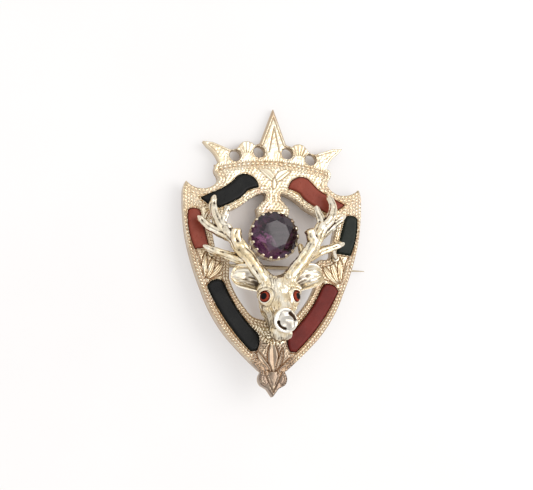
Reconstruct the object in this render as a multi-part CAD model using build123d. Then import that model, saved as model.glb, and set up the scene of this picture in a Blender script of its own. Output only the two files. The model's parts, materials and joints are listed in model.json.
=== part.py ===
from build123d import *
import math
import os
from collections import namedtuple

# Driving dimensions, in millimetres unless a name says degrees.
# The shield's own frame has X across, Y towards the crown and Z out of its face, which is at Z = 0.

# Shield plate
SHIELD_WIDTH = 36.8
SHIELD_HEIGHT = 41.45
SHIELD_THICKNESS = 2.4
CROWN_WIDTH = 29.0
CROWN_HEIGHT = 12.1
CROWN_THICKNESS = 1.6
CROWN_HOLE_DIAMETER = 2.3
FINIAL_WIDTH = 5.7
FINIAL_HEIGHT = 5.15
LEAF_RELIEF = 0.35

# Stone cells and their slabs
CELL_DEPTH = 1.3
SLAB_THICKNESS = 1.6
SLAB_BEVEL = 0.35
STONE_CLEARANCE = 0.05

# Claw-set stone, its collet and the tongue that carries the collet
GEM_HEIGHT_UP_SHIELD = 2.8
GEM_DIAMETER = 9.7
GEM_TABLE_DIAMETER = 5.5
GEM_CROWN_HEIGHT = 1.5
GEM_PAVILION_DEPTH = 3.2
GEM_GIRDLE_THICKNESS = 0.2
GEM_GIRDLE_ABOVE_FACE = 0.9
GEM_FACETS_ROUND = 8
GIRDLE_FACET_STEEPER = 7.0
COLLET_WALL = 0.3
COLLET_SEAT_WIDTH = 0.5
CLAW_COUNT = 18
CLAW_ABOVE_GIRDLE = 0.5
CLAW_NOTCH_DEPTH = 1.1
CLAW_NOTCH_WIDTH = 1.0
TONGUE_WIDTH = 6.8
TONGUE_UNDER_COLLET = 1.4

# Stag's head
CAST_ROLL_DEGREES = 3.0
CAST_PIVOT_DOWN_SHIELD = 8.0
CAST_CLEARANCE = 0.06
HEAD_LENGTH = 12.3
HEAD_WIDTH = 8.8
HEAD_DEPTH = 9.4
HEAD_CROWN_DOWN_SHIELD = 6.3
HOLLOW_WIDTH = 6.2
HOLLOW_LENGTH = 8.6
HOLLOW_DEPTH = 7.6
HOLLOW_DOWN = 0.41
EAR_LENGTH = 5.7
EAR_WIDTH = 3.8
EAR_THICKNESS = 1.7
EYE_DIAMETER = 2.3
EYE_CLEARANCE = 0.05
EYE_RIM = 0.3
EYE_RIM_DEPTH = 0.7

# Antlers
ANTLER_SPAN = 30.4
ANTLER_RISE = 17.2
ANTLER_LIFT = 4.6
ANTLER_THICKNESS = 2.8

# Rivet posts that hold the casting
POST_DIAMETER = 1.1
POST_CLEARANCE = 0.06
FOOT_DIAMETER = 1.5
FOOT_HEIGHT = 0.9
FOOT_KNOT_INDEX = 3

# Pin, hinge and catch
PIN_DOWN_SHIELD = 2.7
PIN_BELOW_FACE = 4.6
PIN_DIAMETER = 0.8
PIN_POINT_DIAMETER = 0.16
PIN_ROOT_DIAMETER = 0.9
PIN_ROOT_PAST_EARS = 0.5
PIN_REACH = 20.2
PIN_TAPER_LENGTH = 8.0
HINGE_INSET = 4.9
HINGE_EAR_GAP = 1.0
HINGE_EAR_THICKNESS = 0.45
HINGE_EAR_WIDTH = 2.0
HINGE_BASE_LENGTH = 4.2
HINGE_BASE_THICKNESS = 0.5
HINGE_RIVET_DIAMETER = 0.8
BARREL_DIAMETER = 1.7
RUNNING_CLEARANCE = 0.05
BARREL_END_CLEARANCE = 0.05
CATCH_INSET = 4.2
CATCH_LENGTH = 1.6
CATCH_OUTER_DIAMETER = 1.7
CATCH_WIRE = 0.35
CATCH_MOUTH = 0.9
CATCH_PIN_CLEARANCE = 0.25

# Tables. Across is a share of half the named width, along a share of the named height.
# A via row bends the edge that ends at the next to row into an arc through it.
Row = namedtuple("Row", "kind across along")

BODY_ROWS = [
    Row("to", 0.000, 0.416),
    Row("to", 0.630, 0.416),
    Row("via", 0.655, 0.391),
    Row("to", 0.628, 0.359),
    Row("to", 0.611, 0.339),
    Row("via", 0.698, 0.298),
    Row("to", 0.799, 0.288),
    Row("via", 0.891, 0.297),
    Row("to", 0.970, 0.322),
    Row("via", 0.995, 0.292),
    Row("to", 1.000, 0.256),
    Row("via", 0.993, 0.159),
    Row("to", 0.962, 0.048),
    Row("via", 0.894, -0.072),
    Row("to", 0.783, -0.207),
    Row("via", 0.655, -0.331),
    Row("to", 0.489, -0.435),
    Row("via", 0.337, -0.505),
    Row("to", 0.149, -0.584),
    Row("to", 0.000, -0.584),
]
OPENING_ROWS = [
    Row("to", 0.000, 0.263),
    Row("to", 0.082, 0.263),
    Row("via", 0.087, 0.279),
    Row("to", 0.120, 0.282),
    Row("via", 0.234, 0.257),
    Row("to", 0.342, 0.220),
    Row("via", 0.473, 0.187),
    Row("to", 0.598, 0.166),
    Row("via", 0.682, 0.147),
    Row("to", 0.696, 0.111),
    Row("via", 0.668, 0.053),
    Row("to", 0.647, 0.005),
    Row("via", 0.628, -0.027),
    Row("to", 0.560, -0.036),
    Row("via", 0.500, -0.045),
    Row("to", 0.484, -0.072),
    Row("to", 0.489, -0.145),
    Row("via", 0.429, -0.210),
    Row("to", 0.293, -0.298),
    Row("via", 0.228, -0.327),
    Row("to", 0.158, -0.338),
    Row("via", 0.076, -0.344),
    Row("to", 0.000, -0.345),
]
CROWN_ROWS = [
    Row("to", 0.000, 1.000),
    Row("to", 0.186, 0.393),
    Row("to", 0.266, 0.347),
    Row("via", 0.379, 0.409),
    Row("to", 0.490, 0.318),
    Row("via", 0.572, 0.252),
    Row("to", 0.655, 0.269),
    Row("to", 0.862, 0.360),
    Row("to", 1.000, 0.368),
    Row("to", 0.938, 0.277),
    Row("via", 0.841, 0.169),
    Row("to", 0.772, 0.012),
    Row("to", 0.772, -0.070),
    Row("to", 0.000, -0.070),
]
CROWN_HOLE_ROWS = [Row("hole", 0.202, 0.236), Row("hole", 0.540, 0.150)]
FINIAL_ROWS = [
    Row("to", 0.000, 0.155),
    Row("to", 0.860, 0.117),
    Row("to", 0.860, -0.078),
    Row("via", 1.000, -0.350),
    Row("to", 0.825, -0.563),
    Row("to", 0.386, -0.699),
    Row("to", 0.000, -1.000),
]
TONGUE_ROWS = [
    Row("to", 0.000, 0.120),
    Row("to", 0.440, 0.120),
    Row("to", 0.460, -0.100),
    Row("via", 0.700, -0.240),
    Row("to", 1.000, -0.480),
    Row("to", 0.850, -1.000),
    Row("to", 0.000, -1.000),
]
SLAB_ROWS = {
    "top": [
        Row("to", 0.168, 0.308),
        Row("via", 0.198, 0.340),
        Row("to", 0.272, 0.364),
        Row("via", 0.342, 0.367),
        Row("to", 0.413, 0.350),
        Row("via", 0.500, 0.312),
        Row("to", 0.592, 0.286),
        Row("to", 0.807, 0.240),
        Row("to", 0.728, 0.214),
        Row("to", 0.603, 0.197),
        Row("via", 0.484, 0.222),
        Row("to", 0.375, 0.250),
        Row("via", 0.337, 0.265),
        Row("to", 0.304, 0.286),
        Row("via", 0.245, 0.299),
        Row("to", 0.168, 0.308),
    ],
    "side": [
        Row("to", 0.815, 0.176),
        Row("via", 0.886, 0.187),
        Row("to", 0.946, 0.174),
        Row("via", 0.938, 0.094),
        Row("to", 0.867, -0.010),
        Row("to", 0.712, -0.001),
        Row("via", 0.758, 0.077),
        Row("to", 0.815, 0.176),
    ],
    "lower": [
        Row("to", 0.543, -0.176),
        Row("via", 0.397, -0.296),
        Row("to", 0.174, -0.410),
        Row("via", 0.158, -0.449),
        Row("to", 0.190, -0.490),
        Row("to", 0.250, -0.492),
        Row("via", 0.495, -0.367),
        Row("to", 0.726, -0.191),
        Row("via", 0.668, -0.162),
        Row("to", 0.576, -0.159),
        Row("to", 0.543, -0.176),
    ],
}

# Leaves in relief above the finial: foot and tip are shares of the shield, fullness of the leaf's length.
Leaf = namedtuple("Leaf", "foot_across foot_along tip_across tip_along fullness")
LEAF_ROWS = [
    Leaf(0.000, -0.455, 0.000, -0.580, 0.22),
    Leaf(0.030, -0.490, 0.150, -0.545, 0.20),
    Leaf(-0.030, -0.490, -0.150, -0.545, 0.20),
    Leaf(0.020, -0.460, 0.110, -0.495, 0.24),
    Leaf(-0.020, -0.460, -0.110, -0.495, 0.24),
]

# Antlers: across is a share of half the span, along of the rise above the head's crown,
# lift of the antlers' lift and thick of their thickness.
Knot = namedtuple("Knot", "across along lift thick")
BEAM = [
    Knot(0.160, -0.060, 0.85, 0.93),
    Knot(0.293, 0.122, 1.00, 0.86),
    Knot(0.381, 0.227, 1.00, 0.88),
    Knot(0.455, 0.310, 0.96, 0.98),
    Knot(0.515, 0.401, 0.91, 1.04),
    Knot(0.576, 0.487, 0.83, 0.98),
    Knot(0.645, 0.580, 0.74, 0.84),
    Knot(0.700, 0.640, 0.67, 0.62),
]
TINES = {
    "top": [
        Knot(0.660, 0.570, 0.72, 0.62),
        Knot(0.748, 0.662, 0.65, 0.64),
        Knot(0.803, 0.811, 0.52, 0.60),
        Knot(0.795, 0.911, 0.43, 0.50),
        Knot(0.762, 0.997, 0.35, 0.20),
    ],
    "inner": [
        Knot(0.665, 0.570, 0.72, 0.55),
        Knot(0.660, 0.660, 0.70, 0.54),
        Knot(0.620, 0.768, 0.65, 0.44),
        Knot(0.581, 0.862, 0.61, 0.18),
    ],
    "outer": [
        Knot(0.600, 0.490, 0.74, 0.60),
        Knot(0.675, 0.520, 0.65, 0.62),
        Knot(0.793, 0.590, 0.57, 0.58),
        Knot(0.903, 0.662, 0.48, 0.46),
        Knot(1.000, 0.747, 0.40, 0.24),
    ],
    "low": [
        Knot(0.400, 0.190, 0.88, 0.66),
        Knot(0.490, 0.232, 0.76, 0.70),
        Knot(0.618, 0.290, 0.65, 0.66),
        Knot(0.800, 0.345, 0.52, 0.60),
        Knot(0.963, 0.410, 0.40, 0.26),
    ],
    "stub": [
        Knot(0.520, 0.370, 0.90, 0.76),
        Knot(0.512, 0.440, 1.00, 0.74),
        Knot(0.487, 0.558, 1.09, 0.50),
    ],
    "brow": [
        Knot(0.395, 0.220, 0.90, 0.56),
        Knot(0.370, 0.290, 0.85, 0.52),
        Knot(0.339, 0.391, 0.70, 0.20),
    ],
}

# Head: sections parallel to the shield. Lift is a share of its depth, top and bottom shares of its
# length below the crown, brow and jaw shares of half its width.
Section = namedtuple("Section", "lift top bottom brow jaw")
HEAD_SECTIONS = [
    Section(0.00, 0.050, 0.920, 0.86, 0.46),
    Section(0.21, 0.000, 0.990, 0.97, 0.52),
    Section(0.43, 0.010, 1.000, 1.00, 0.55),
    Section(0.60, 0.150, 0.975, 0.85, 0.56),
    Section(0.77, 0.366, 0.955, 0.66, 0.55),
    Section(0.91, 0.530, 0.920, 0.53, 0.50),
    Section(1.00, 0.620, 0.860, 0.34, 0.30),
]
BROW_SHARE = 0.32
CHEEK_SHARE = 0.60
JAW_SHARE = 0.84
CHEEK_HOLLOW = 0.03

# The hollow behind the head: lift is a share of its depth, long and wide of its length and width.
Hollow = namedtuple("Hollow", "lift long wide")
HOLLOW_SECTIONS = [
    Hollow(-0.10, 1.00, 1.00),
    Hollow(0.50, 0.84, 0.70),
    Hollow(0.72, 0.66, 0.42),
    Hollow(1.00, 0.42, 0.34),
]

# Ears: way is a share of the ear's length from its root, wide and thick of its width and thickness.
EarSection = namedtuple("EarSection", "way wide thick")
EAR_SECTIONS = [
    EarSection(0.00, 0.72, 1.00),
    EarSection(0.28, 0.96, 0.92),
    EarSection(0.55, 1.00, 0.78),
    EarSection(0.82, 0.66, 0.58),
    EarSection(1.00, 0.14, 0.24),
]
EAR_ROOT = (0.84, 0.060, 0.42)
EAR_DIRECTION = (5.4, 1.5, -1.0)
EAR_SCOOP = 0.66
EYE_PLACE = (0.66, 0.330, 0.555)
EYE_DIRECTION = (0.64, 0.08, 0.76)
FOOT_ON_SHIELD = (0.690, -0.031)
CHIN_POST_ALONG = 0.79

# Sizes worked out from the ones above
GEM_RADIUS = GEM_DIAMETER / 2
COLLET_BORE_RADIUS = GEM_RADIUS + STONE_CLEARANCE - COLLET_SEAT_WIDTH
COLLET_TOP_RADIUS = GEM_RADIUS + STONE_CLEARANCE + COLLET_WALL
GEM_CENTRE = Vector(0, GEM_HEIGHT_UP_SHIELD, GEM_GIRDLE_ABOVE_FACE)
SHIELD_TOP = BODY_ROWS[0].along * SHIELD_HEIGHT
SHIELD_BOTTOM = BODY_ROWS[-1].along * SHIELD_HEIGHT
CROWN_TIP = SHIELD_TOP + CROWN_HEIGHT
HINGE_X = HINGE_INSET - SHIELD_WIDTH / 2
CATCH_X = SHIELD_WIDTH / 2 - CATCH_INSET
CUT_LENGTH = 4 * SHIELD_THICKNESS
PIN_Y = -PIN_DOWN_SHIELD
PIN_Z = -PIN_BELOW_FACE
HINGE_HALF = HINGE_EAR_GAP / 2 + HINGE_EAR_THICKNESS

# The surface that the brooch lies on touches the crown's tip and the hinge's ears
REST_CONTACT_Y = PIN_Y + HINGE_HALF
REST_CONTACT_Z = PIN_Z - HINGE_EAR_WIDTH / 2
REST_SLOPE = (-CROWN_THICKNESS - REST_CONTACT_Z) / (CROWN_TIP - REST_CONTACT_Y)
REST_TILT = math.degrees(math.atan(REST_SLOPE))


def chain(rows, half_width, height, base=0.0):
    """Lines and arcs through a table's rows."""
    edges = []
    start = None
    bend = None
    for row in rows:
        point = (row.across * half_width, base + row.along * height)
        if row.kind == "via":
            bend = point
        elif start is None:
            start = point
        else:
            edges.append(ThreePointArc(start, bend, point) if bend else Line(start, point))
            start = point
            bend = None
    return edges


def closed(rows, half_width, height, base=0.0, doubled=True):
    """A face inside a table's rows, which give its right half where it is doubled."""
    edges = chain(rows, half_width, height, base)
    if doubled:
        edges += [mirror(edge, about=Plane.YZ) for edge in edges]
    return make_face(edges).face()


def slab(face, bottom, top):
    """A straight solid of a flat outline between two heights."""
    return extrude(Pos(0, 0, bottom) * face, amount=top - bottom, dir=(0, 0, 1))


def leaf_pad(leaf):
    """A pointed leaf in relief, between two arcs."""
    foot = Vector(leaf.foot_across * SHIELD_WIDTH / 2, leaf.foot_along * SHIELD_HEIGHT)
    tip = Vector(leaf.tip_across * SHIELD_WIDTH / 2, leaf.tip_along * SHIELD_HEIGHT)
    way = tip - foot
    side = Vector(-way.Y, way.X) * leaf.fullness
    middle = (foot + tip) * 0.5
    outline = make_face([ThreePointArc(foot, middle + side, tip), ThreePointArc(tip, middle - side, foot)])
    return slab(outline.face(), -CROWN_THICKNESS, LEAF_RELIEF)


def cell_faces():
    """Each stone's name and outline, the left ones mirrored."""
    faces = {}
    for name, rows in SLAB_ROWS.items():
        right = closed(rows, SHIELD_WIDTH / 2, SHIELD_HEIGHT, doubled=False)
        faces[f"inlay_{name}_right"] = right
        faces[f"inlay_{name}_left"] = mirror(right, about=Plane.YZ).face()
    return faces


def shield_plate(cells):
    """The pierced plate with its crown, finial, tongue and relief."""
    body = closed(BODY_ROWS, SHIELD_WIDTH / 2, SHIELD_HEIGHT)
    opening = closed(OPENING_ROWS, SHIELD_WIDTH / 2, SHIELD_HEIGHT)
    crown = closed(CROWN_ROWS, CROWN_WIDTH / 2, CROWN_HEIGHT, SHIELD_TOP)
    finial = closed(FINIAL_ROWS, FINIAL_WIDTH / 2, FINIAL_HEIGHT, SHIELD_BOTTOM)
    tongue_top = OPENING_ROWS[0].along * SHIELD_HEIGHT
    tongue_length = tongue_top - GEM_CENTRE.Y - COLLET_BORE_RADIUS + TONGUE_UNDER_COLLET
    tongue = closed(TONGUE_ROWS, TONGUE_WIDTH / 2, tongue_length, tongue_top)
    plate = slab(body, -SHIELD_THICKNESS, 0) - slab(opening, -CUT_LENGTH, CUT_LENGTH)
    plate += slab(tongue, -SHIELD_THICKNESS, 0)
    plate += slab(crown, -CROWN_THICKNESS, 0)
    plate += slab(finial, -SHIELD_THICKNESS, 0)
    for leaf in LEAF_ROWS:
        plate += leaf_pad(leaf)
    for row in CROWN_HOLE_ROWS:
        for side in (-1, 1):
            place = Pos(side * row.across * CROWN_WIDTH / 2, SHIELD_TOP + row.along * CROWN_HEIGHT, 0)
            plate -= place * Cylinder(CROWN_HOLE_DIAMETER / 2, CUT_LENGTH)
    for face in cells.values():
        plate -= slab(face, -CELL_DEPTH - STONE_CLEARANCE, CUT_LENGTH)
    return plate


def collet_outside():
    """The collet's outer form, a slightly tapered drum from the shield's back to the claws' tips."""
    top = GEM_GIRDLE_ABOVE_FACE + CLAW_ABOVE_GIRDLE
    height = top + SHIELD_THICKNESS
    foot_radius = COLLET_BORE_RADIUS + COLLET_WALL
    place = Pos(GEM_CENTRE.X, GEM_CENTRE.Y, top - height / 2)
    return place * Cone(foot_radius, COLLET_TOP_RADIUS, height)


def collet_cavity():
    """The room for the stone: a pocket round its girdle, a sloping seat and an open bore."""
    pocket_radius = GEM_RADIUS + STONE_CLEARANCE
    seat_top = GEM_GIRDLE_ABOVE_FACE - GEM_GIRDLE_THICKNESS / 2 - STONE_CLEARANCE
    seat_drop = COLLET_SEAT_WIDTH * GEM_PAVILION_DEPTH / GEM_RADIUS
    profile = Polyline(
        (0, -CUT_LENGTH),
        (COLLET_BORE_RADIUS, -CUT_LENGTH),
        (COLLET_BORE_RADIUS, seat_top - seat_drop),
        (pocket_radius, seat_top),
        (pocket_radius, CUT_LENGTH),
        (0, CUT_LENGTH),
        (0, -CUT_LENGTH),
    )
    turned = revolve(Plane.XZ * make_face(profile), axis=Axis.Z)
    return Pos(GEM_CENTRE.X, GEM_CENTRE.Y, 0) * turned


def claw_notches():
    """Pointed cuts all round the collet's top that leave its claws standing."""
    top = GEM_GIRDLE_ABOVE_FACE + CLAW_ABOVE_GIRDLE
    spare = CLAW_NOTCH_DEPTH / 4
    flank = CLAW_NOTCH_WIDTH / 2 * (1 + spare / CLAW_NOTCH_DEPTH)
    outline = Polyline(
        (-flank, top + spare),
        (0, top - CLAW_NOTCH_DEPTH),
        (flank, top + spare),
        (-flank, top + spare),
    )
    cut = extrude(Plane.XZ * make_face(outline), amount=COLLET_TOP_RADIUS * 2, dir=(0, 1, 0))
    centre = Pos(GEM_CENTRE.X, GEM_CENTRE.Y, 0)
    return [centre * Rot(0, 0, 360 * (i + 0.5) / CLAW_COUNT) * cut for i in range(CLAW_COUNT)]


def hinge():
    """The hinge's base, its two ears and the rivet between them."""
    base = Pos(HINGE_X, PIN_Y, -SHIELD_THICKNESS - HINGE_BASE_THICKNESS / 2) * Box(
        HINGE_BASE_LENGTH, 2 * HINGE_HALF, HINGE_BASE_THICKNESS
    )
    drop = -SHIELD_THICKNESS - PIN_Z
    ears = base
    for side in (-1, 1):
        y = PIN_Y + side * (HINGE_EAR_GAP + HINGE_EAR_THICKNESS) / 2
        ears += Pos(HINGE_X, y, PIN_Z + drop / 2) * Box(HINGE_EAR_WIDTH, HINGE_EAR_THICKNESS, drop)
        ears += Pos(HINGE_X, y, PIN_Z) * Rot(90, 0, 0) * Cylinder(HINGE_EAR_WIDTH / 2, HINGE_EAR_THICKNESS)
    rivet = Pos(HINGE_X, PIN_Y, PIN_Z) * Rot(90, 0, 0) * Cylinder(HINGE_RIVET_DIAMETER / 2, 2 * HINGE_HALF)
    return ears + rivet


def catch():
    """An open hook beside the pin, as low as the surface that the hinge's ears lie on."""
    radius = CATCH_OUTER_DIAMETER / 2
    lip = math.sqrt(radius**2 - (CATCH_MOUTH / 2) ** 2)
    tapered = max(CATCH_X - PIN_REACH + PIN_TAPER_LENGTH, 0) / PIN_TAPER_LENGTH
    pin_there = PIN_DIAMETER + (PIN_POINT_DIAMETER - PIN_DIAMETER) * tapered
    centre_y = PIN_Y + pin_there / 2 + CATCH_PIN_CLEARANCE + lip
    surface_z = REST_CONTACT_Z + REST_SLOPE * (centre_y - REST_CONTACT_Y)
    centre_z = surface_z + radius / math.cos(math.radians(REST_TILT))
    lying = Pos(CATCH_X, centre_y, centre_z) * Rot(0, 90, 0)
    hook = lying * Cylinder(radius, CATCH_LENGTH)
    drop = -SHIELD_THICKNESS - centre_z
    hook += Pos(CATCH_X, centre_y + radius / 2, centre_z + drop / 2) * Box(CATCH_LENGTH, radius, drop)
    hook -= lying * Cylinder(radius - CATCH_WIRE, CATCH_LENGTH * 2)
    mouth = Pos(CATCH_X, centre_y - radius, centre_z) * Box(CATCH_LENGTH * 2, 2 * radius, CATCH_MOUTH)
    return hook - mouth


def facet(turn, distance, height, slope):
    """A plane whose face points outwards and up by a slope in degrees, through a height on its turn."""
    lean = math.radians(slope)
    bearing = math.radians(turn)
    outward = Vector(math.cos(bearing), math.sin(bearing), 0)
    normal = outward * math.sin(lean) + Vector(0, 0, math.cos(lean))
    return Plane(origin=outward * distance + Vector(0, 0, height), z_dir=normal)


def amethyst():
    """The faceted stone: table, mains and girdle facets above, mains below."""
    half_girdle = GEM_GIRDLE_THICKNESS / 2
    step = 360 / GEM_FACETS_ROUND
    sides = RegularPolygon(GEM_RADIUS, GEM_FACETS_ROUND * 2)
    stone = slab(sides.face(), -half_girdle - GEM_PAVILION_DEPTH, half_girdle + GEM_CROWN_HEIGHT)
    inset = GEM_RADIUS * math.cos(math.radians(step / 4))
    crown_slope = math.degrees(math.atan(GEM_CROWN_HEIGHT / (inset - GEM_TABLE_DIAMETER / 2)))
    pavilion_slope = math.degrees(math.atan(GEM_PAVILION_DEPTH / inset))
    cuts = []
    for i in range(GEM_FACETS_ROUND):
        cuts.append(facet(step * (i + 0.25), inset, half_girdle, crown_slope))
        cuts.append(facet(step * (i + 0.25), inset, -half_girdle, 180 - pavilion_slope))
    for i in range(2 * GEM_FACETS_ROUND):
        turn = step * (i / 2 + 0.25)
        cuts.append(facet(turn, inset, half_girdle, crown_slope + GIRDLE_FACET_STEEPER))
        cuts.append(facet(turn, inset, -half_girdle, 180 - pavilion_slope - GIRDLE_FACET_STEEPER))
    for plane in cuts:
        stone = split(stone, bisect_by=plane, keep=Keep.BOTTOM)
    return Pos(GEM_CENTRE.X, GEM_CENTRE.Y, GEM_CENTRE.Z) * stone


def inlay(face):
    """A stone slab with its upper edge bevelled."""
    outline = offset(face, amount=-STONE_CLEARANCE, kind=Kind.ARC).face()
    stone = slab(outline, -CELL_DEPTH, SLAB_THICKNESS - CELL_DEPTH)
    return chamfer(stone.faces().sort_by(Axis.Z)[-1].edges(), length=SLAB_BEVEL)


def bar(points, diameters):
    """A round bar through points, each section square to the way at its point."""
    rings = []
    last = len(points) - 1
    for i, (point, diameter) in enumerate(zip(points, diameters)):
        way = points[min(i + 1, last)] - points[max(i - 1, 0)]
        level = Vector(0, 0, 1).cross(way)
        rings.append(Wire.make_circle(diameter / 2, Plane(origin=point, x_dir=level, z_dir=way)))
    return Solid.make_loft(rings, ruled=True)


def antler_bar(knots, side):
    """One branch of an antler from its table."""
    points = []
    for knot in knots:
        x = side * knot.across * ANTLER_SPAN / 2
        y = knot.along * ANTLER_RISE - HEAD_CROWN_DOWN_SHIELD
        points.append(Vector(x, y, knot.lift * ANTLER_LIFT))
    return bar(points, [knot.thick * ANTLER_THICKNESS for knot in knots])


def head_ring(section):
    """The head's outline at one height, from four arcs."""
    top = -HEAD_CROWN_DOWN_SHIELD - section.top * HEAD_LENGTH
    length = (section.bottom - section.top) * HEAD_LENGTH
    brow = section.brow * HEAD_WIDTH / 2
    jaw = section.jaw * HEAD_WIDTH / 2
    cheek = (brow + jaw) / 2 - CHEEK_HOLLOW * HEAD_WIDTH / 2
    z = section.lift * HEAD_DEPTH + CAST_CLEARANCE
    levels = [top - share * length for share in (BROW_SHARE, CHEEK_SHARE, JAW_SHARE)]
    right = ThreePointArc((brow, levels[0], z), (cheek, levels[1], z), (jaw, levels[2], z))
    under = ThreePointArc((jaw, levels[2], z), (0, top - length, z), (-jaw, levels[2], z))
    left = ThreePointArc((-jaw, levels[2], z), (-cheek, levels[1], z), (-brow, levels[0], z))
    over = ThreePointArc((-brow, levels[0], z), (0, top, z), (brow, levels[0], z))
    return Wire([right, under, left, over])


def on_head(place, side):
    """A point on the head from shares of its half width, length and depth."""
    x = side * place[0] * HEAD_WIDTH / 2
    return Vector(x, -HEAD_CROWN_DOWN_SHIELD - place[1] * HEAD_LENGTH, place[2] * HEAD_DEPTH)


def ear(side):
    """A broad leaf of an ear, scooped out in front."""
    root = on_head(EAR_ROOT, side)
    way = Vector(side * EAR_DIRECTION[0], EAR_DIRECTION[1], EAR_DIRECTION[2]).normalized()
    across = Vector(0, 0, 1).cross(way)
    front = way.cross(across)

    def leaf(scale, start):
        rings = []
        for section in EAR_SECTIONS:
            centre = root + way * (section.way * EAR_LENGTH * scale) + start
            wide = section.wide * EAR_WIDTH / 2 * scale
            thick = section.thick * EAR_THICKNESS / 2 * scale
            rings.append(Wire.make_ellipse(wide, thick, Plane(origin=centre, x_dir=across, z_dir=way)))
        return Solid.make_loft(rings)

    lead = way * (EAR_LENGTH * (1 - EAR_SCOOP) / 2)
    return leaf(1, Vector(0, 0, 0)) - leaf(EAR_SCOOP, lead + front * (EAR_THICKNESS * EAR_SCOOP / 2))


def eye_centre(side):
    """The middle of an eye, before the casting is turned."""
    return on_head(EYE_PLACE, side)


def rolled(shape):
    """The casting's own slight turn on the shield."""
    pivot = Pos(0, -CAST_PIVOT_DOWN_SHIELD, 0)
    return pivot * Rot(0, 0, CAST_ROLL_DEGREES) * pivot.inverse() * shape


def stag_casting():
    """Head, ears and antlers with sockets and a hollow back, before its turn."""
    head = Solid.make_loft([head_ring(section) for section in HEAD_SECTIONS])
    casting = Part() + head
    for side in (-1, 1):
        rim = Plane(origin=eye_centre(side), z_dir=Vector(side * EYE_DIRECTION[0], *EYE_DIRECTION[1:]))
        casting += rim * Cylinder(EYE_DIAMETER / 2 + EYE_RIM, EYE_DIAMETER * EYE_RIM_DEPTH)
        casting += ear(side)
        casting += antler_bar(BEAM, side)
        for knots in TINES.values():
            casting += antler_bar(knots, side)
    for side in (-1, 1):
        middle = eye_centre(side)
        casting -= Pos(middle.X, middle.Y, middle.Z) * Sphere(EYE_DIAMETER / 2 + EYE_CLEARANCE)
    middle_y = -HEAD_CROWN_DOWN_SHIELD - HEAD_LENGTH * HOLLOW_DOWN
    rings = []
    for row in HOLLOW_SECTIONS:
        plane = Plane(origin=(0, middle_y, row.lift * HOLLOW_DEPTH), x_dir=(0, 1, 0))
        rings.append(Wire.make_ellipse(row.long * HOLLOW_LENGTH / 2, row.wide * HOLLOW_WIDTH / 2, plane))
    return casting - Solid.make_loft(rings, ruled=True)


def post_places():
    """Where the three rivet posts pass through the shield."""
    x = FOOT_ON_SHIELD[0] * SHIELD_WIDTH / 2
    y = FOOT_ON_SHIELD[1] * SHIELD_HEIGHT
    chin = -HEAD_CROWN_DOWN_SHIELD - CHIN_POST_ALONG * HEAD_LENGTH
    return [Vector(-x, y), Vector(x, y), Vector(0, chin)]


def stag_head():
    """The casting turned to its place, with its feet and posts."""
    casting = rolled(stag_casting())
    knot = TINES["low"][FOOT_KNOT_INDEX]
    for place in post_places():
        post_top = CAST_CLEARANCE + POST_DIAMETER / 2
        height = post_top + SHIELD_THICKNESS
        if place.X:
            side = math.copysign(1, place.X)
            hip = Pos(
                side * knot.across * ANTLER_SPAN / 2,
                knot.along * ANTLER_RISE - HEAD_CROWN_DOWN_SHIELD,
                knot.lift * ANTLER_LIFT,
            )
            top = rolled(hip).position
            ankle = Vector(place.X, place.Y, FOOT_HEIGHT * 2 / 3)
            casting += bar([top, ankle], [POST_DIAMETER, POST_DIAMETER])
            sole = CAST_CLEARANCE + FOOT_HEIGHT / 2
            casting += Pos(place.X, place.Y, sole) * Cylinder(FOOT_DIAMETER / 2, FOOT_HEIGHT)
        casting += Pos(place.X, place.Y, post_top - height / 2) * Cylinder(POST_DIAMETER / 2, height)
    return casting


def along_pin(start, end, start_diameter, end_diameter):
    """A stretch of the pin between two places across the shield, straight or tapered."""
    place = Pos((start + end) / 2, PIN_Y, PIN_Z) * Rot(0, 90, 0)
    if start_diameter == end_diameter:
        return place * Cylinder(start_diameter / 2, end - start)
    return place * Cone(start_diameter / 2, end_diameter / 2, end - start)


def pin_stem():
    """The pin with its barrel on the hinge's rivet."""
    length = HINGE_EAR_GAP - 2 * BARREL_END_CLEARANCE
    lying = Pos(HINGE_X, PIN_Y, PIN_Z)
    barrel = lying * Rot(90, 0, 0) * Cylinder(BARREL_DIAMETER / 2, length)
    taper_start = PIN_REACH - PIN_TAPER_LENGTH
    root_end = HINGE_X + HINGE_EAR_WIDTH / 2 + PIN_ROOT_PAST_EARS
    stem = along_pin(HINGE_X, root_end, PIN_ROOT_DIAMETER, PIN_DIAMETER)
    stem += along_pin(root_end, taper_start, PIN_DIAMETER, PIN_DIAMETER)
    stem += along_pin(taper_start, PIN_REACH, PIN_DIAMETER, PIN_POINT_DIAMETER)
    bore = lying * Rot(90, 0, 0) * Cylinder(HINGE_RIVET_DIAMETER / 2 + RUNNING_CLEARANCE, 2 * length)
    return barrel + stem - bore


def shield(cells):
    """All the soldered metal as one solid."""
    metal = shield_plate(cells) + collet_outside() - collet_cavity()
    for notch in claw_notches():
        metal -= notch
    for place in post_places():
        metal -= Pos(place.X, place.Y, 0) * Cylinder(POST_DIAMETER / 2 + POST_CLEARANCE, CUT_LENGTH)
    return metal + hinge() + catch()


cells = cell_faces()
parts = {"shield": shield(cells), "stag_head": stag_head(), "amethyst": amethyst(), "pin_stem": pin_stem()}
for name, face in cells.items():
    parts[name] = inlay(face)
for name, side in (("eye_left", -1), ("eye_right", 1)):
    middle = eye_centre(side)
    parts[name] = rolled(Pos(middle.X, middle.Y, middle.Z) * Sphere(EYE_DIAMETER / 2))

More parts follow.
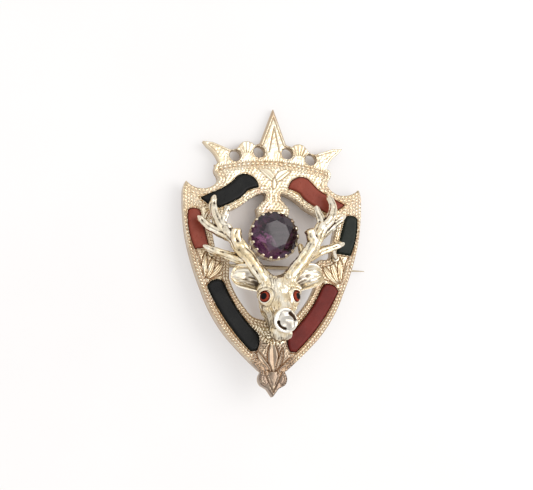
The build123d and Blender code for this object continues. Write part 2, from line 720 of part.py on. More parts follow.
# The whole lies tilted on its hinge, catch and crown tip, with its origin under the middle of its box
tilt = Rot(-REST_TILT, 0, 0)
lying = {name: tilt * shape for name, shape in parts.items()}
boxes = [shape.bounding_box() for shape in lying.values()]
low = Vector(*(min(getattr(box.min, axis) for box in boxes) for axis in "XYZ"))
high = Vector(*(max(getattr(box.max, axis) for box in boxes) for axis in "XYZ"))
place = Pos(-(low.X + high.X) / 2, -(low.Y + high.Y) / 2, -low.Z)

os.makedirs("parts", exist_ok=True)
for name, shape in lying.items():
    export_step(place * shape, f"parts/{name}.step")
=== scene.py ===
"""A stag head brooch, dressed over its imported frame.

Shapes are worked out in the plate's own frame, in millimetres: X runs across the shield,
Y towards its crown and Z out of its face, which is at Z = 0.
"""

import json
import logging
import math
from dataclasses import dataclass, field
from enum import Enum

import bmesh
import bpy
import numpy as np
from mathutils import Matrix, Vector
from mathutils.geometry import delaunay_2d_cdt


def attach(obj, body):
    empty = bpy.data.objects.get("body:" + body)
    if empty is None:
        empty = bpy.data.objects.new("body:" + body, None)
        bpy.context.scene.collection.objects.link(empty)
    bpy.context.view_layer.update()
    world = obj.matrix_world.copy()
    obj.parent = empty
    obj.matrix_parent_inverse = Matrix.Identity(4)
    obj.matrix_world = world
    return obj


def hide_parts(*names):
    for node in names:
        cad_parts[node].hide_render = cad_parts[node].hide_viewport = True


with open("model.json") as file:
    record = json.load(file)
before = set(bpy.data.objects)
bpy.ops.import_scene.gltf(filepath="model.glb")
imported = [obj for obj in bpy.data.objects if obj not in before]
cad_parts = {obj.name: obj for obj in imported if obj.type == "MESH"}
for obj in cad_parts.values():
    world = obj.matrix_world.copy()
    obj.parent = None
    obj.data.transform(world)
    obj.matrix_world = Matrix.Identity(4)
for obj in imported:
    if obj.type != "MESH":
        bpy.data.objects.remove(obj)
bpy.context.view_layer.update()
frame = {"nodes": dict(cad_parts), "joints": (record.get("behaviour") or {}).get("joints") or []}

Array = np.ndarray
Mesh = tuple[Array, list[Array]]
Pair = tuple[float, float]
Triple = tuple[float, float, float]
Socket = bpy.types.NodeSocket
log = logging.getLogger("brooch")

MM = 0.001
BODY = "brooch"
PIN_BODY = "pin"

# Places and heights on the plate, in millimetres
HINGE_ON_PLATE = (-13.5, -2.7, -4.6)
CROWN_BACK = -1.6
SHIELD_BACK = -2.4
CROWN_FOOT_Y = 17.25
CAST_PIVOT = (0.0, -8.0)
CAST_ROLL = math.radians(3.0)
GEM_CENTRE = (0.0, 2.8, 0.9)

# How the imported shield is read, in millimetres and square millimetres
MERGE_WITHIN = 0.002
FACE_WITHIN = 0.01
DOWN_WALL = -0.1
WALL_SLACK = 0.1
RIM_AREA = 1000.0
OPENING_AREA = 200.0

# How near an edge a sheet's points move onto it, and its smallest cells, as shares of its step
SNAP_SHARE = 0.71
THIN_SHARE = 0.05

# The whole numbers that scatter the noise, and how many places are measured at a time
HASH_SEED = 7919
HASH_SPREAD = 1103515245
HASH_AXIS = 12345
HASH_SHIFT = 1013904223
HASH_LAST = 1274126177
HASH_MASK = 0x7FFFFFFF
CHUNK = 4096


class Side(Enum):
    """The two halves of the brooch, as seen from the front."""

    LEFT = -1
    RIGHT = 1

    @property
    def word(self) -> str:
        """The side's name in lower case."""
        return self.name.lower()


class Edge(Enum):
    """What an outline of the plate bounds."""

    RIM = "rim"
    OPENING = "opening"
    CELL = "cell"
    CROWN_HOLE = "crown hole"
    POST_HOLE = "post hole"


@dataclass(frozen=True)
class PlateFrame:
    """Where the plate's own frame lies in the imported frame.

    Args:
        origin: the plate's origin, in metres.
        axes: its three axes, one in each row.
    """

    origin: Array
    axes: Array

    @classmethod
    def from_hinge(cls) -> "PlateFrame":
        """Reads the plate's frame from the pin's hinge, whose axis runs up the plate.

        Returns:
            The plate's frame.
        """
        joint = frame["joints"][0]
        right = np.array([1.0, 0.0, 0.0])
        up = np.array(joint["axis"])
        axes = np.stack([right, up, np.cross(right, up)])
        origin = np.array(joint["pos_m"]) - MM * np.array(HINGE_ON_PLATE) @ axes
        return cls(origin, axes)

    def to_frame(self, points: Array) -> Array:
        """Plate millimetres to frame metres."""
        return self.origin + MM * np.asarray(points) @ self.axes

    def to_plate(self, points: Array) -> Array:
        """Frame metres to plate millimetres."""
        return (np.asarray(points) - self.origin) @ self.axes.T / MM


PLATE = PlateFrame.from_hinge()


def unit(vector: Array) -> Array:
    """A vector, or each row of an array, at length 1."""
    vector = np.asarray(vector, float)
    return vector / np.maximum(np.linalg.norm(vector, axis=-1, keepdims=True), 1e-12)


def smooth_step(low: float, high: float, value: Array) -> Array:
    """Rises from 0 at low to 1 at high as 3t² - 2t³."""
    share = np.clip((value - low) / (high - low), 0, 1)
    return share * share * (3 - 2 * share)


def ridge(value: Array, width: float) -> Array:
    """A bell of height 1 about 0: exp(-(value / width)²)."""
    return np.exp(-((value / width) ** 2))


def grain(points: Array, size: float, seed: int = 0) -> Array:
    """Smooth noise from -1 to 1.

    Formula: whole-number corners get a hashed value each, mixed by 3t² - 2t³ along each axis.

    Args:
        points: places, (n, 2) or (n, 3).
        size: the distance between corners.
        seed: another number gives another pattern.

    Returns:
        One value for each place.
    """
    scaled = np.asarray(points) / size + 100.0
    base = np.floor(scaled).astype(np.int64)
    share = scaled - base
    share = share * share * (3 - 2 * share)
    total = np.zeros(len(scaled))
    dims = scaled.shape[1]
    for corner in range(2**dims):
        weight = np.ones(len(scaled))
        code = np.full(len(scaled), seed * HASH_SEED + 17, np.int64)
        for axis in range(dims):
            bit = corner >> axis & 1
            weight *= share[:, axis] if bit else 1 - share[:, axis]
            code = (code * HASH_SPREAD + (base[:, axis] + bit) * HASH_AXIS + HASH_SHIFT) & HASH_MASK
            code = code ^ (code >> 13)
        code = (code * HASH_LAST + 97) & HASH_MASK
        total += weight * ((code >> 7 & 0xFFFF) / 32767.5 - 1)
    return total


def full_turn(count: int) -> Array:
    """Angles evenly spread round a full turn, in radians."""
    return np.linspace(0, 2 * math.pi, count, endpoint=False)


def grid_faces(rows: int, columns: int, round_rows: bool = False, round_columns: bool = False) -> Array:
    """The four-cornered faces of a grid of points laid out row by row.

    Args:
        rows: the number of rows.
        columns: the number of points in a row.
        round_rows: the last row joins the first.
        round_columns: the last point of a row joins its first.

    Returns:
        Point numbers, (n, 4).
    """
    row = np.arange(rows if round_rows else rows - 1)
    column = np.arange(columns if round_columns else columns - 1)
    row, column = (part.ravel() for part in np.meshgrid(row, column, indexing="ij"))
    next_row = (row + 1) % rows
    next_column = (column + 1) % columns
    corners = (row * columns + column, row * columns + next_column)
    corners += (next_row * columns + next_column, next_row * columns + column)
    return np.stack(corners, 1)


def tube_faces(rows: int, columns: int) -> list[Array]:
    """The faces of a tube whose ends are closed by its last two points.

    Args:
        rows: the number of rings.
        columns: the number of points in a ring.

    Returns:
        The tube's faces and those of its two ends.
    """
    turn = np.arange(columns)
    after = (turn + 1) % columns
    last = (rows - 1) * columns
    start, end = (np.full(columns, rows * columns + k) for k in range(2))
    fans = [np.stack([after, turn, start], 1), np.stack([turn + last, after + last, end], 1)]
    return [grid_faces(rows, columns, round_columns=True)] + fans


def join(parts: list[Mesh]) -> Mesh:
    """Several meshes as one.

    Args:
        parts: the meshes.

    Returns:
        Their points and faces together.
    """
    points = np.concatenate([part[0] for part in parts])
    firsts = np.cumsum([0] + [len(part[0]) for part in parts])
    faces = [face + first for (_, part), first in zip(parts, firsts) for face in part]
    return points, faces


def flipped(mesh: Mesh) -> Mesh:
    """A mesh with its faces turned over."""
    return mesh[0], [face[:, ::-1] for face in mesh[1]]


def blend_mesh(name: str, mesh: Mesh) -> bpy.types.Mesh:
    """Puts points and faces into a Blender mesh.

    Args:
        name: its name.
        mesh: the points and faces.

    Returns:
        The Blender mesh.
    """
    points, faces = mesh
    data = bpy.data.meshes.new(name)
    corners = np.concatenate([face.ravel() for face in faces])
    sizes = np.concatenate([np.full(len(face), face.shape[1]) for face in faces])
    data.vertices.add(len(points))
    data.vertices.foreach_set("co", np.asarray(points, np.float32).ravel())
    data.loops.add(len(corners))
    data.loops.foreach_set("vertex_index", corners.astype(np.int32))
    data.polygons.add(len(sizes))
    data.polygons.foreach_set("loop_start", (np.cumsum(sizes) - sizes).astype(np.int32))
    data.update(calc_edges=True)
    data.validate()
    return data


def put_in_scene(name: str, data: bpy.types.ID) -> bpy.types.Object:
    """Makes an object of some data and puts it into the scene.

    Args:
        name: its name.
        data: its mesh, light or camera.

    Returns:
        The object.
    """
    made = bpy.data.objects.new(name, data)
    bpy.context.scene.collection.objects.link(made)
    return made


def make_piece(
    name: str, mesh: Mesh, values: dict[str, Array] | None = None, sharp: float = 50.0
) -> bpy.types.Object:
    """Makes a finished piece from a mesh in plate millimetres.

    Args:
        name: the piece's name.
        mesh: its points and faces.
        values: named numbers for its points, which its finish reads.
        sharp: edges that turn by more degrees than this stay sharp.

    Returns:
        The piece, at the origin, with its place in its mesh.
    """
    data = blend_mesh(name, (PLATE.to_frame(mesh[0]), mesh[1]))
    for key, numbers in (values or {}).items():
        data.attributes.new(key, "FLOAT", "POINT").data.foreach_set("value", np.asarray(numbers, np.float32))
    data.shade_smooth()
    data.set_sharp_from_angle(angle=math.radians(sharp))
    return put_in_scene(name, data)


def place_piece(piece: bpy.types.Object, nodes: tuple[str, ...] = (), body: str = BODY) -> None:
    """Rides a piece on its body and hides the nodes that it stands for.

    Args:
        piece: the piece.
        nodes: the nodes that it stands for.
        body: the body that it rides on.
    """
    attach(piece, body)
    if nodes:
        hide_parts(*nodes)
    log.info("%s: %d faces", piece.name, len(piece.data.polygons))


def read_rows(items: bpy.types.bpy_prop_collection, key: str, width: int, kind: type = np.float32) -> Array:
    """Reads one value of each item.

    Args:
        items: a mesh's vertices, normals or polygons.
        key: the value's name.
        width: how many numbers it has.
        kind: the kind of number.

    Returns:
        A row for each item.
    """
    values = np.empty(width * len(items), kind)
    items.foreach_get(key, values)
    return values.reshape(-1, width)


def node_mesh(name: str) -> tuple[Array, Array]:
    """A node's points in plate millimetres, with doubles merged, and its triangles.

    Args:
        name: the node's name.

    Returns:
        The points and the triangles.
    """
    data = frame["nodes"][name].data
    points = PLATE.to_plate(read_rows(data.vertices, "co", 3))
    corners = read_rows(data.polygons, "vertices", 3, np.int32)
    keys = np.round(points / MERGE_WITHIN).astype(np.int64)
    _, firsts, numbers = np.unique(keys, axis=0, return_index=True, return_inverse=True)
    return points[firsts], numbers.ravel()[corners]


def node_centre(name: str) -> Array:
    """The middle of a node's box, in plate millimetres."""
    points = node_mesh(name)[0]
    return (points.min(0) + points.max(0)) / 2


def nearest(points: Array, starts: Array, ends: Array) -> tuple[Array, Array, Array]:
    """The nearest place on a set of straight segments.

    Formula: the share along each segment is the projection of the point on it, held from 0 to 1.

    Args:
        points: the places.
        starts: where the segments start.
        ends: where they end.

    Returns:
        Distances, segment numbers and shares along them.
    """
    way = ends - starts
    square = np.maximum((way**2).sum(1), 1e-12)
    found = []
    for first in range(0, len(points), CHUNK):
        rest = points[first : first + CHUNK, None] - starts[None]
        share = np.clip((rest * way).sum(2) / square, 0, 1)
        gap = ((rest - share[..., None] * way) ** 2).sum(2)
        best = gap.argmin(1)
        row = np.arange(len(best))
        found.append((np.sqrt(gap[row, best]), best, share[row, best]))
    return tuple(np.concatenate(part) for part in zip(*found))


def crossings(points: Array, starts: Array, ends: Array) -> Array:
    """How many segments lie to the left of each place, along X.

    Args:
        points: the places.
        starts: where the segments start.
        ends: where they end.

    Returns:
        A count for each place.
    """
    found = []
    for first in range(0, len(points), CHUNK):
        x, y = points[first : first + CHUNK, :, None].transpose(1, 0, 2)
        spans = (starts[:, 1] > y) != (ends[:, 1] > y)
        rise = np.where(ends[:, 1] == starts[:, 1], 1, ends[:, 1] - starts[:, 1])
        cut = starts[:, 0] + (y - starts[:, 1]) / rise * (ends[:, 0] - starts[:, 0])
        found.append((spans & (cut < x)).sum(1))
    return np.concatenate(found)


@dataclass(frozen=True)
class Line:
    """An open or closed line on the plate's face, to measure distances and lengths from.

    Args:
        points: its corners, (n, 2).
        closed: the last corner joins the first.
    """

    points: Array
    closed: bool = False

    def segments(self) -> tuple[Array, Array]:
        """The starts and ends of its straight stretches.

        Returns:
            The starts and the ends.
        """
        points = np.asarray(self.points, float)
        ends = np.roll(points, -1, axis=0)
        return (points, ends) if self.closed else (points[:-1], ends[:-1])

    def measure(self, places: Array) -> tuple[Array, Array]:
        """Each place's distance from the line, and the length along the line to there.

        Args:
            places: the places.

        Returns:
            The distances and the lengths.
        """
        starts, ends = self.segments()
        lengths = np.linalg.norm(ends - starts, axis=1)
        before = np.cumsum(lengths) - lengths
        distance, number, share = nearest(places, starts, ends)
        return distance, before[number] + share * lengths[number]


@dataclass(frozen=True)
class Outline(Line):
    """A closed outline of the plate, with what it bounds."""

    kind: Edge = Edge.RIM


def read_outlines() -> list[Outline]:
    """Follows the top edges of the shield's upright walls round into closed outlines.

    Returns:
        The outlines.
    """
    points, triangles = node_mesh("shield")
    height = points[:, 2]
    on_face = np.abs(height) < FACE_WITHIN
    follow = {}
    depths = {}
    for turn in range(3):
        a, b, c = (triangles[:, (turn + k) % 3] for k in range(3))
        wall = on_face[a] & on_face[b] & (height[c] < DOWN_WALL) & (a != b)
        follow.update(zip(a[wall].tolist(), b[wall].tolist()))
        depths.update(zip(a[wall].tolist(), height[c[wall]].tolist()))
    heads = sorted(set(follow) - set(follow.values())) + sorted(follow)
    outlines = []
    used = set()
    for head in heads:
        chain = []
        while head is not None and head not in used:
            used.add(head)
            chain.append(head)
            head = follow.get(head)
        if len(chain) > 2:
            outlines.append(sort_outline(points[chain, :2], min(depths.get(number, 0) for number in chain)))
    return outlines


def of_kind(outlines: list[Outline], *kinds: Edge) -> list[Outline]:
    """The outlines that bound some kinds of thing."""
    return [outline for outline in outlines if outline.kind in kinds]


def sort_outline(points: Array, depth: float) -> Outline:
    """Names an outline by its area and by how deep its wall goes.

    Args:
        points: its corners.
        depth: the height of its wall's foot.

    Returns:
        The outline with its kind.
    """
    x, y = points.T
    area = abs(np.sum(x * np.roll(y, -1) - np.roll(x, -1) * y)) / 2
    if area > RIM_AREA:
        kind = Edge.RIM
    elif area > OPENING_AREA:
        kind = Edge.OPENING
    elif depth > CROWN_BACK + WALL_SLACK:
        kind = Edge.CELL
    else:
        kind = Edge.CROWN_HOLE if depth > SHIELD_BACK + WALL_SLACK else Edge.POST_HOLE
    return Outline(points, True, kind)


@dataclass
class Sheet:
    """A flat piece cut to closed outlines, with a relief on its face.

    A square grid is laid over the outlines. Points near an edge move onto it, and cells whose corners
    all lie inside or on an edge stay. Walls run down from the edges that only one cell uses.

    Args:
        outlines: closed outlines, holes among them.
        step: the grid's spacing.
        floor: the height of the underside.
        round_over: the radius that the upper edge is worn to.
        inset: how far the piece keeps inside its outlines.
    """

    outlines: list[Line]
    step: float
    floor: float
    round_over: float = 0.2
    inset: float = 0.0
    flat: Array = field(init=False)
    cells: Array = field(init=False)
    depth_in: Array = field(init=False)

    def __post_init__(self) -> None:
        """Lays out the grid and moves its edge points."""
        pairs = [outline.segments() for outline in self.outlines]
        starts = np.concatenate([pair[0] for pair in pairs])
        ends = np.concatenate([pair[1] for pair in pairs])
        low, high = starts.min(0) - 2 * self.step, starts.max(0) + 3 * self.step
        xs, ys = (np.arange(low[k], high[k], self.step) for k in range(2))
        inside = self.inside(xs, ys, starts, ends)
        near = inside.copy()
        for shift in ((0, 1), (0, -1), (1, 0), (-1, 0), (1, 1), (-1, -1), (1, -1), (-1, 1)):
            near |= np.roll(inside, shift, (0, 1))
        rows, columns = np.nonzero(near)
        flat = np.stack([xs[columns], ys[rows]], 1)
        distance, number, share = nearest(flat, starts, ends)
        way = (ends - starts)[number]
        foot = starts[number] + share[:, None] * way
        held = inside[rows, columns]
        snapped = distance < SNAP_SHARE * self.step
        inward = np.where(held[:, None], flat - foot, foot - flat)
        flat[snapped] = (foot + self.inset * unit(inward))[snapped]
        numbers = np.full(near.shape, -1)
        numbers[rows, columns] = np.where(held | snapped, np.arange(len(flat)), -1)
        corners = (numbers[:-1, :-1], numbers[:-1, 1:], numbers[1:, 1:], numbers[1:, :-1])
        quads = np.stack([corner.ravel() for corner in corners], 1)
        quads = quads[(quads >= 0).all(1)]
        across = flat[quads[:, 2]] - flat[quads[:, 0]]
        back = flat[quads[:, 3]] - flat[quads[:, 1]]
        area = across[:, 0] * back[:, 1] - across[:, 1] * back[:, 0]
        quads = quads[area > THIN_SHARE * self.step**2]
        kept, numbers = np.unique(quads, return_inverse=True)
        self.flat = flat[kept]
        self.cells = numbers.reshape(-1, 4)
        self.depth_in = np.where(snapped, 0, distance)[kept]

    @staticmethod
    def inside(xs: Array, ys: Array, starts: Array, ends: Array) -> Array:
        """Which grid points lie inside, by the even or odd count of edges to their left, row by row.

        Args:
            xs: the grid's columns.
            ys: its rows.
            starts: where the edges start.
            ends: where they end.

        Returns:
            True at the grid points that lie inside.
        """
        result = np.zeros((len(ys), len(xs)), bool)
        for row, y in enumerate(ys + 1e-5):
            cut = (starts[:, 1] > y) != (ends[:, 1] > y)
            start, end = starts[cut], ends[cut]
            places = start[:, 0] + (y - start[:, 1]) / (end[:, 1] - start[:, 1]) * (end[:, 0] - start[:, 0])
            result[row] = np.searchsorted(np.sort(places), xs) % 2 == 1
        return result

    def worn_edge(self) -> Array:
        """How far the worn edge lies below the face: a quarter circle of the worn radius.

        Returns:
            Heights for self.flat, 0 or less.
        """
        radius = self.round_over
        share = 1 - np.clip(self.depth_in / radius, 0, 1)
        return -radius * (1 - np.sqrt(np.clip(1 - share**2, 0, 1)))

    def mesh(self, relief: Array) -> Mesh:
        """The closed sheet with its relief.

        Args:
            relief: heights of the face at self.flat.

        Returns:
            The mesh, whose first points are those of the face.
        """
        count = len(self.flat)
        top = np.column_stack([self.flat, relief + self.worn_edge()])
        edges = np.stack([self.cells, np.roll(self.cells, -1, axis=1)], 2).reshape(-1, 2)
        key = np.sort(edges, axis=1) @ np.array([count, 1])
        _, first, uses = np.unique(key, return_index=True, return_counts=True)
        edges = edges[first[uses == 1]]
        ring, edges = np.unique(edges, return_inverse=True)
        edges = edges.reshape(-1, 2)
        levels = [top[ring]]
        for level in (0.35 * self.floor, self.floor + 0.1, self.floor):
            levels.append(np.column_stack([self.flat[ring], np.full(len(ring), level)]))
        wall = []
        firsts = [None] + [count + k * len(ring) for k in range(3)]
        for upper, lower in zip(firsts[:-1], firsts[1:]):
            a, b = (ring[edges].T if upper is None else edges.T + upper)
            c, d = edges.T + lower
            wall.append(np.stack([b, a, c, d], 1))
        points = np.concatenate([top] + levels[1:])
        under = self.underside(self.flat[ring], edges) + firsts[-1]
        return points, [self.cells, np.concatenate(wall), under]

    @staticmethod
    def underside(ring: Array, edges: Array) -> Array:
        """Triangles that fill the edge loops but not their holes, facing down.

        Args:
            ring: the points of the lower edges.
            edges: pairs of their numbers.

        Returns:
            The triangles.
        """
        corners = [Vector(point) for point in ring.tolist()]
        places, _, faces, origins, _, _ = delaunay_2d_cdt(corners, edges.tolist(), [], 2, 1e-7)
        closest = [int(np.square(ring - np.array(place)).sum(1).argmin()) if not origin else origin[0]
                   for place, origin in zip(places, origins)]
        faces = np.array(closest)[np.array(faces)]
        faces = faces[(faces != np.roll(faces, 1, axis=1)).all(1)]
        faces = faces[crossings(ring[faces].mean(1), ring[edges[:, 0]], ring[edges[:, 1]]) % 2 == 1]
        a, b, c = (ring[faces[:, k]] for k in range(3))
        area = (b[:, 0] - a[:, 0]) * (c[:, 1] - a[:, 1]) - (b[:, 1] - a[:, 1]) * (c[:, 0] - a[:, 0])
        return np.where(area[:, None] > 0, faces[:, ::-1], faces)


def smooth_path(knots: Array, samples: int) -> Array:
    """A smooth line through knots of any number of columns.

    Formula: the cubic between two knots whose slope at each is half the step between its neighbours.

    Args:
        knots: the knots, (n, columns).
        samples: how many points to give.

    Returns:
        Points evenly spread over the knots, (samples, columns).
    """
    knots = np.asarray(knots, float)
    padded = np.concatenate([[2 * knots[0] - knots[1]], knots, [2 * knots[-1] - knots[-2]]])
    where = np.linspace(0, len(knots) - 1, samples)
    number = np.minimum(where.astype(int), len(knots) - 2)
    t = (where - number)[:, None]
    a, b, c, d = (padded[number + k] for k in range(4))
    bend = (2 * a - 5 * b + 4 * c - d) * t**2 + (3 * b - a - 3 * c + d) * t**3
    return b + 0.5 * ((c - a) * t + bend)


def carry_profile(path: Array, profiles: Array, start_side: Array = (0, 0, 1)) -> Mesh:
    """A closed profile carried along a path, with pinched ends.

    Formula: point = path + profile x · side + profile y · across, where side is kept square to the path
    from one point to the next.

    Args:
        path: points along the way, (n, 3).
        profiles: the profile at each point, (n, m, 2).
        start_side: the direction that the profile's x takes at the start.

    Returns:
        The closed mesh.
    """
    ways = unit(np.gradient(path, axis=0))
    side = np.array(start_side, float)
    sides = []
    for way in ways:
        side = unit(side - way * (side @ way))
        sides.append(side)
    sides = np.array(sides)
    across = np.cross(ways, sides)
    rings = path[:, None] + profiles[..., :1] * sides[:, None] + profiles[..., 1:] * across[:, None]
    points = np.concatenate([rings.reshape(-1, 3), path[:1], path[-1:]])
    return points, tube_faces(*profiles.shape[:2])


def round_profile(radii: Array, count: int = 24) -> Array:
    """Circles of given radii, as profiles of (n, count, 2) numbers."""
    turn = full_turn(count)
    return np.asarray(radii)[:, None, None] * np.stack([np.cos(turn), np.sin(turn)], 1)


def revolved(centre: Array, axis: Array, profile: Array, count: int = 48) -> Mesh:
    """A profile of (radius, height) rows turned round an axis, with its ends closed on the axis.

    Args:
        centre: a place on the axis.
        axis: its direction.
        profile: the rows.
        count: corners in a round.

    Returns:
        The closed mesh.
    """
    axis = unit(axis)
    helper = np.array([1.0, 0, 0]) if abs(axis[0]) < 0.9 else np.array([0, 1.0, 0])
    side = unit(np.cross(helper, axis))
    across = np.cross(axis, side)
    turn = full_turn(count)
    spoke = np.cos(turn)[:, None] * side + np.sin(turn)[:, None] * across
    profile = np.asarray(profile, float)
    rings = np.asarray(centre) + profile[:, 0, None, None] * spoke + (profile[:, 1, None, None] * axis)
    poles = np.asarray(centre) + profile[[0, -1], 1, None] * axis
    return np.concatenate([rings.reshape(-1, 3), poles]), tube_faces(len(profile), count)


def block(low: Triple, high: Triple, round_by: float) -> Mesh:
    """A box with rounded edges: a small ball whose eight parts are pulled to the box's corners.

    Args:
        low: the box's lowest corner.
        high: its highest corner.
        round_by: the radius of its edges.

    Returns:
        The closed mesh.
    """
    low, high = np.asarray(low, float) + round_by, np.asarray(high, float) - round_by
    turns, levels = 24, 12
    around = (np.arange(turns) + 0.5) / turns * 2 * math.pi
    down = np.linspace(0, math.pi, levels)
    ring = np.sin(down)[:, None]
    height = np.broadcast_to(-np.cos(down)[:, None], (levels, turns))
    ball = np.stack([ring * np.cos(around), ring * np.sin(around), height], 2)
    share = np.empty_like(ball)
    share[..., :2] = (np.sign(ball[levels // 2, :, :2]) + 1) / 2
    share[..., 2] = (np.arange(levels) >= levels // 2)[:, None]
    points = (low + share * (high - low) + round_by * ball).reshape(-1, 3)
    caps = [np.arange(turns)[::-1][None], ((levels - 1) * turns + np.arange(turns))[None]]
    return points, [grid_faces(levels, turns, round_columns=True)] + caps


def fuse(parts: list[Mesh], voxel: float, calm: int = 2) -> tuple[Array, Array, Array]:
    """Melts closed meshes into one skin.

    Args:
        parts: the meshes, in plate millimetres.
        voxel: the size of the skin's faces.
        calm: how many times the skin is evened out.

    Returns:
        The skin's points, its four-cornered faces and its outward directions.
    """
    rough = put_in_scene("rough", blend_mesh("rough", join(parts)))
    melt = rough.modifiers.new("melt", "REMESH")
    melt.mode = "VOXEL"
    melt.voxel_size = voxel
    even = rough.modifiers.new("even", "SMOOTH")
    even.factor = 0.5
    even.iterations = calm
    graph = bpy.context.evaluated_depsgraph_get()
    skin = bpy.data.meshes.new_from_object(rough.evaluated_get(graph))
    points = read_rows(skin.vertices, "co", 3).astype(float)
    normals = read_rows(skin.vertex_normals, "vector", 3).astype(float)
    faces = read_rows(skin.polygons, "vertices", 4, np.int32)
    old = rough.data
    bpy.data.objects.remove(rough)
    bpy.data.meshes.remove(old)
    bpy.data.meshes.remove(skin)
    return points, faces, normals


def rolled(points: Array, angle: float = CAST_ROLL) -> Array:
    """Turns places on the casting by its small roll about its pivot on the plate.

    Args:
        points: the places.
        angle: how far they turn, in radians.

    Returns:
        The turned places.
    """
    cosine, sine = math.cos(angle), math.sin(angle)
    x, y = points[..., 0] - CAST_PIVOT[0], points[..., 1] - CAST_PIVOT[1]
    turned = (x * cosine - y * sine + CAST_PIVOT[0], x * sine + y * cosine + CAST_PIVOT[1], points[..., 2])
    return np.stack(turned, -1)


@dataclass(frozen=True)
class BeadRow:
    """A row of raised beads beside a line.

    Args:
        inset: the row's distance from the line.
        pitch: the spacing of the beads.
        length: a bead's length along the line.
        width: its width.
        lean: how far a bead slants along the line for each millimetre across it.
        shift: the share of a pitch by which the row starts late.
    """

    inset: float
    pitch: float
    length: float
    width: float
    lean: float = 0.0
    shift: float = 0.0

    def share(self, distance: Array, along: Array) -> Array:
        """The beads' height as a share: half an ellipsoid at each pitch.

        Args:
            distance: how far each place lies from the line.
            along: the length along it.

        Returns:
            Shares from 0 to 1.
        """
        phase = (along + self.lean * (distance - self.inset)) / self.pitch + self.shift
        ahead = (phase - np.floor(phase) - 0.5) * self.pitch * 2 / self.length
        beside = (distance - self.inset) * 2 / self.width
        return np.sqrt(np.clip(1 - ahead**2 - beside**2, 0, 1))


@dataclass(frozen=True)
class LeafCut:
    """A leaf worked on the plate.

    Args:
        foot: where its stalk starts.
        tip: where it ends.
        half_width: half its width at the broadest place.
        bow: how far its middle line bends to its left.
        rise: the height of its middle.
        flutes: the number of grooves along it.
        edge: the depth of the cut round it.
    """

    foot: Pair
    tip: Pair
    half_width: float
    bow: float = 0.0
    rise: float = 0.1
    flutes: int = 1
    edge: float = 0.2

    def mirrored(self) -> "LeafCut":
        """The same leaf on the other side of the brooch."""
        foot, tip = (-self.foot[0], self.foot[1]), (-self.tip[0], self.tip[1])
        return LeafCut(foot, tip, self.half_width, -self.bow, self.rise, self.flutes, self.edge)

    def work(self, flat: Array, height: Array) -> None:
        """Changes the heights where the leaf lies.

        Formula: along the stalk t runs from 0 to 1, the half width is that of a bulging spindle, and the
        height is a flattened dome with cosine flutes.

        Args:
            flat: places on the face.
            height: their heights, which change.
        """
        foot, tip = np.array(self.foot), np.array(self.tip)
        length = np.linalg.norm(tip - foot)
        way = (tip - foot) / length
        rest = flat - foot
        t = rest @ way / length
        middle = self.bow * np.sin(np.pi * np.clip(t, 0, 1))
        across = rest @ np.array([-way[1], way[0]]) - middle
        width = self.half_width * np.sin(np.pi * np.clip(t, 0, 1) ** 0.8) ** 0.75 + 1e-3
        share = across / width
        inside = (t > 0) & (t < 1) & (np.abs(share) < 1)
        dome = self.rise * (1 - share**2) ** 0.6 * np.sin(np.pi * np.clip(t, 0, 1)) ** 0.3
        flute = 0.5 + 0.5 * np.cos(np.pi * (share + 1) * self.flutes)
        dome = dome - 1.3 * max(self.rise, 0.12) * (1 - flute) ** 3 * (1 - share**2)
        height[inside] = dome[inside]
        rim = (t > -0.02) & (t < 1.02)
        height -= np.where(rim, self.edge * ridge(np.abs(across) - width - 0.05, 0.12), 0)


@dataclass(frozen=True)
class SoftBox:
    """A square soft light that looks at the brooch.

    Args:
        name: the light's name.
        place: where its middle hangs, in metres.
        width: its side, in metres.
        power: its power, in watts.
        tint: its colour.
    """

    name: str
    place: Triple
    width: float
    power: float
    tint: Triple

    def hang(self) -> None:
        """Puts the light into the scene."""
        data = bpy.data.lights.new(self.name, "AREA")
        data.shape = "RECTANGLE"
        data.size = self.width
        data.size_y = self.width
        data.energy = self.power
        data.color = self.tint
        lamp = put_in_scene(self.name, data)
        lamp.location = self.place
        lamp.rotation_euler = (-Vector(self.place)).to_track_quat("-Z", "Y").to_euler()


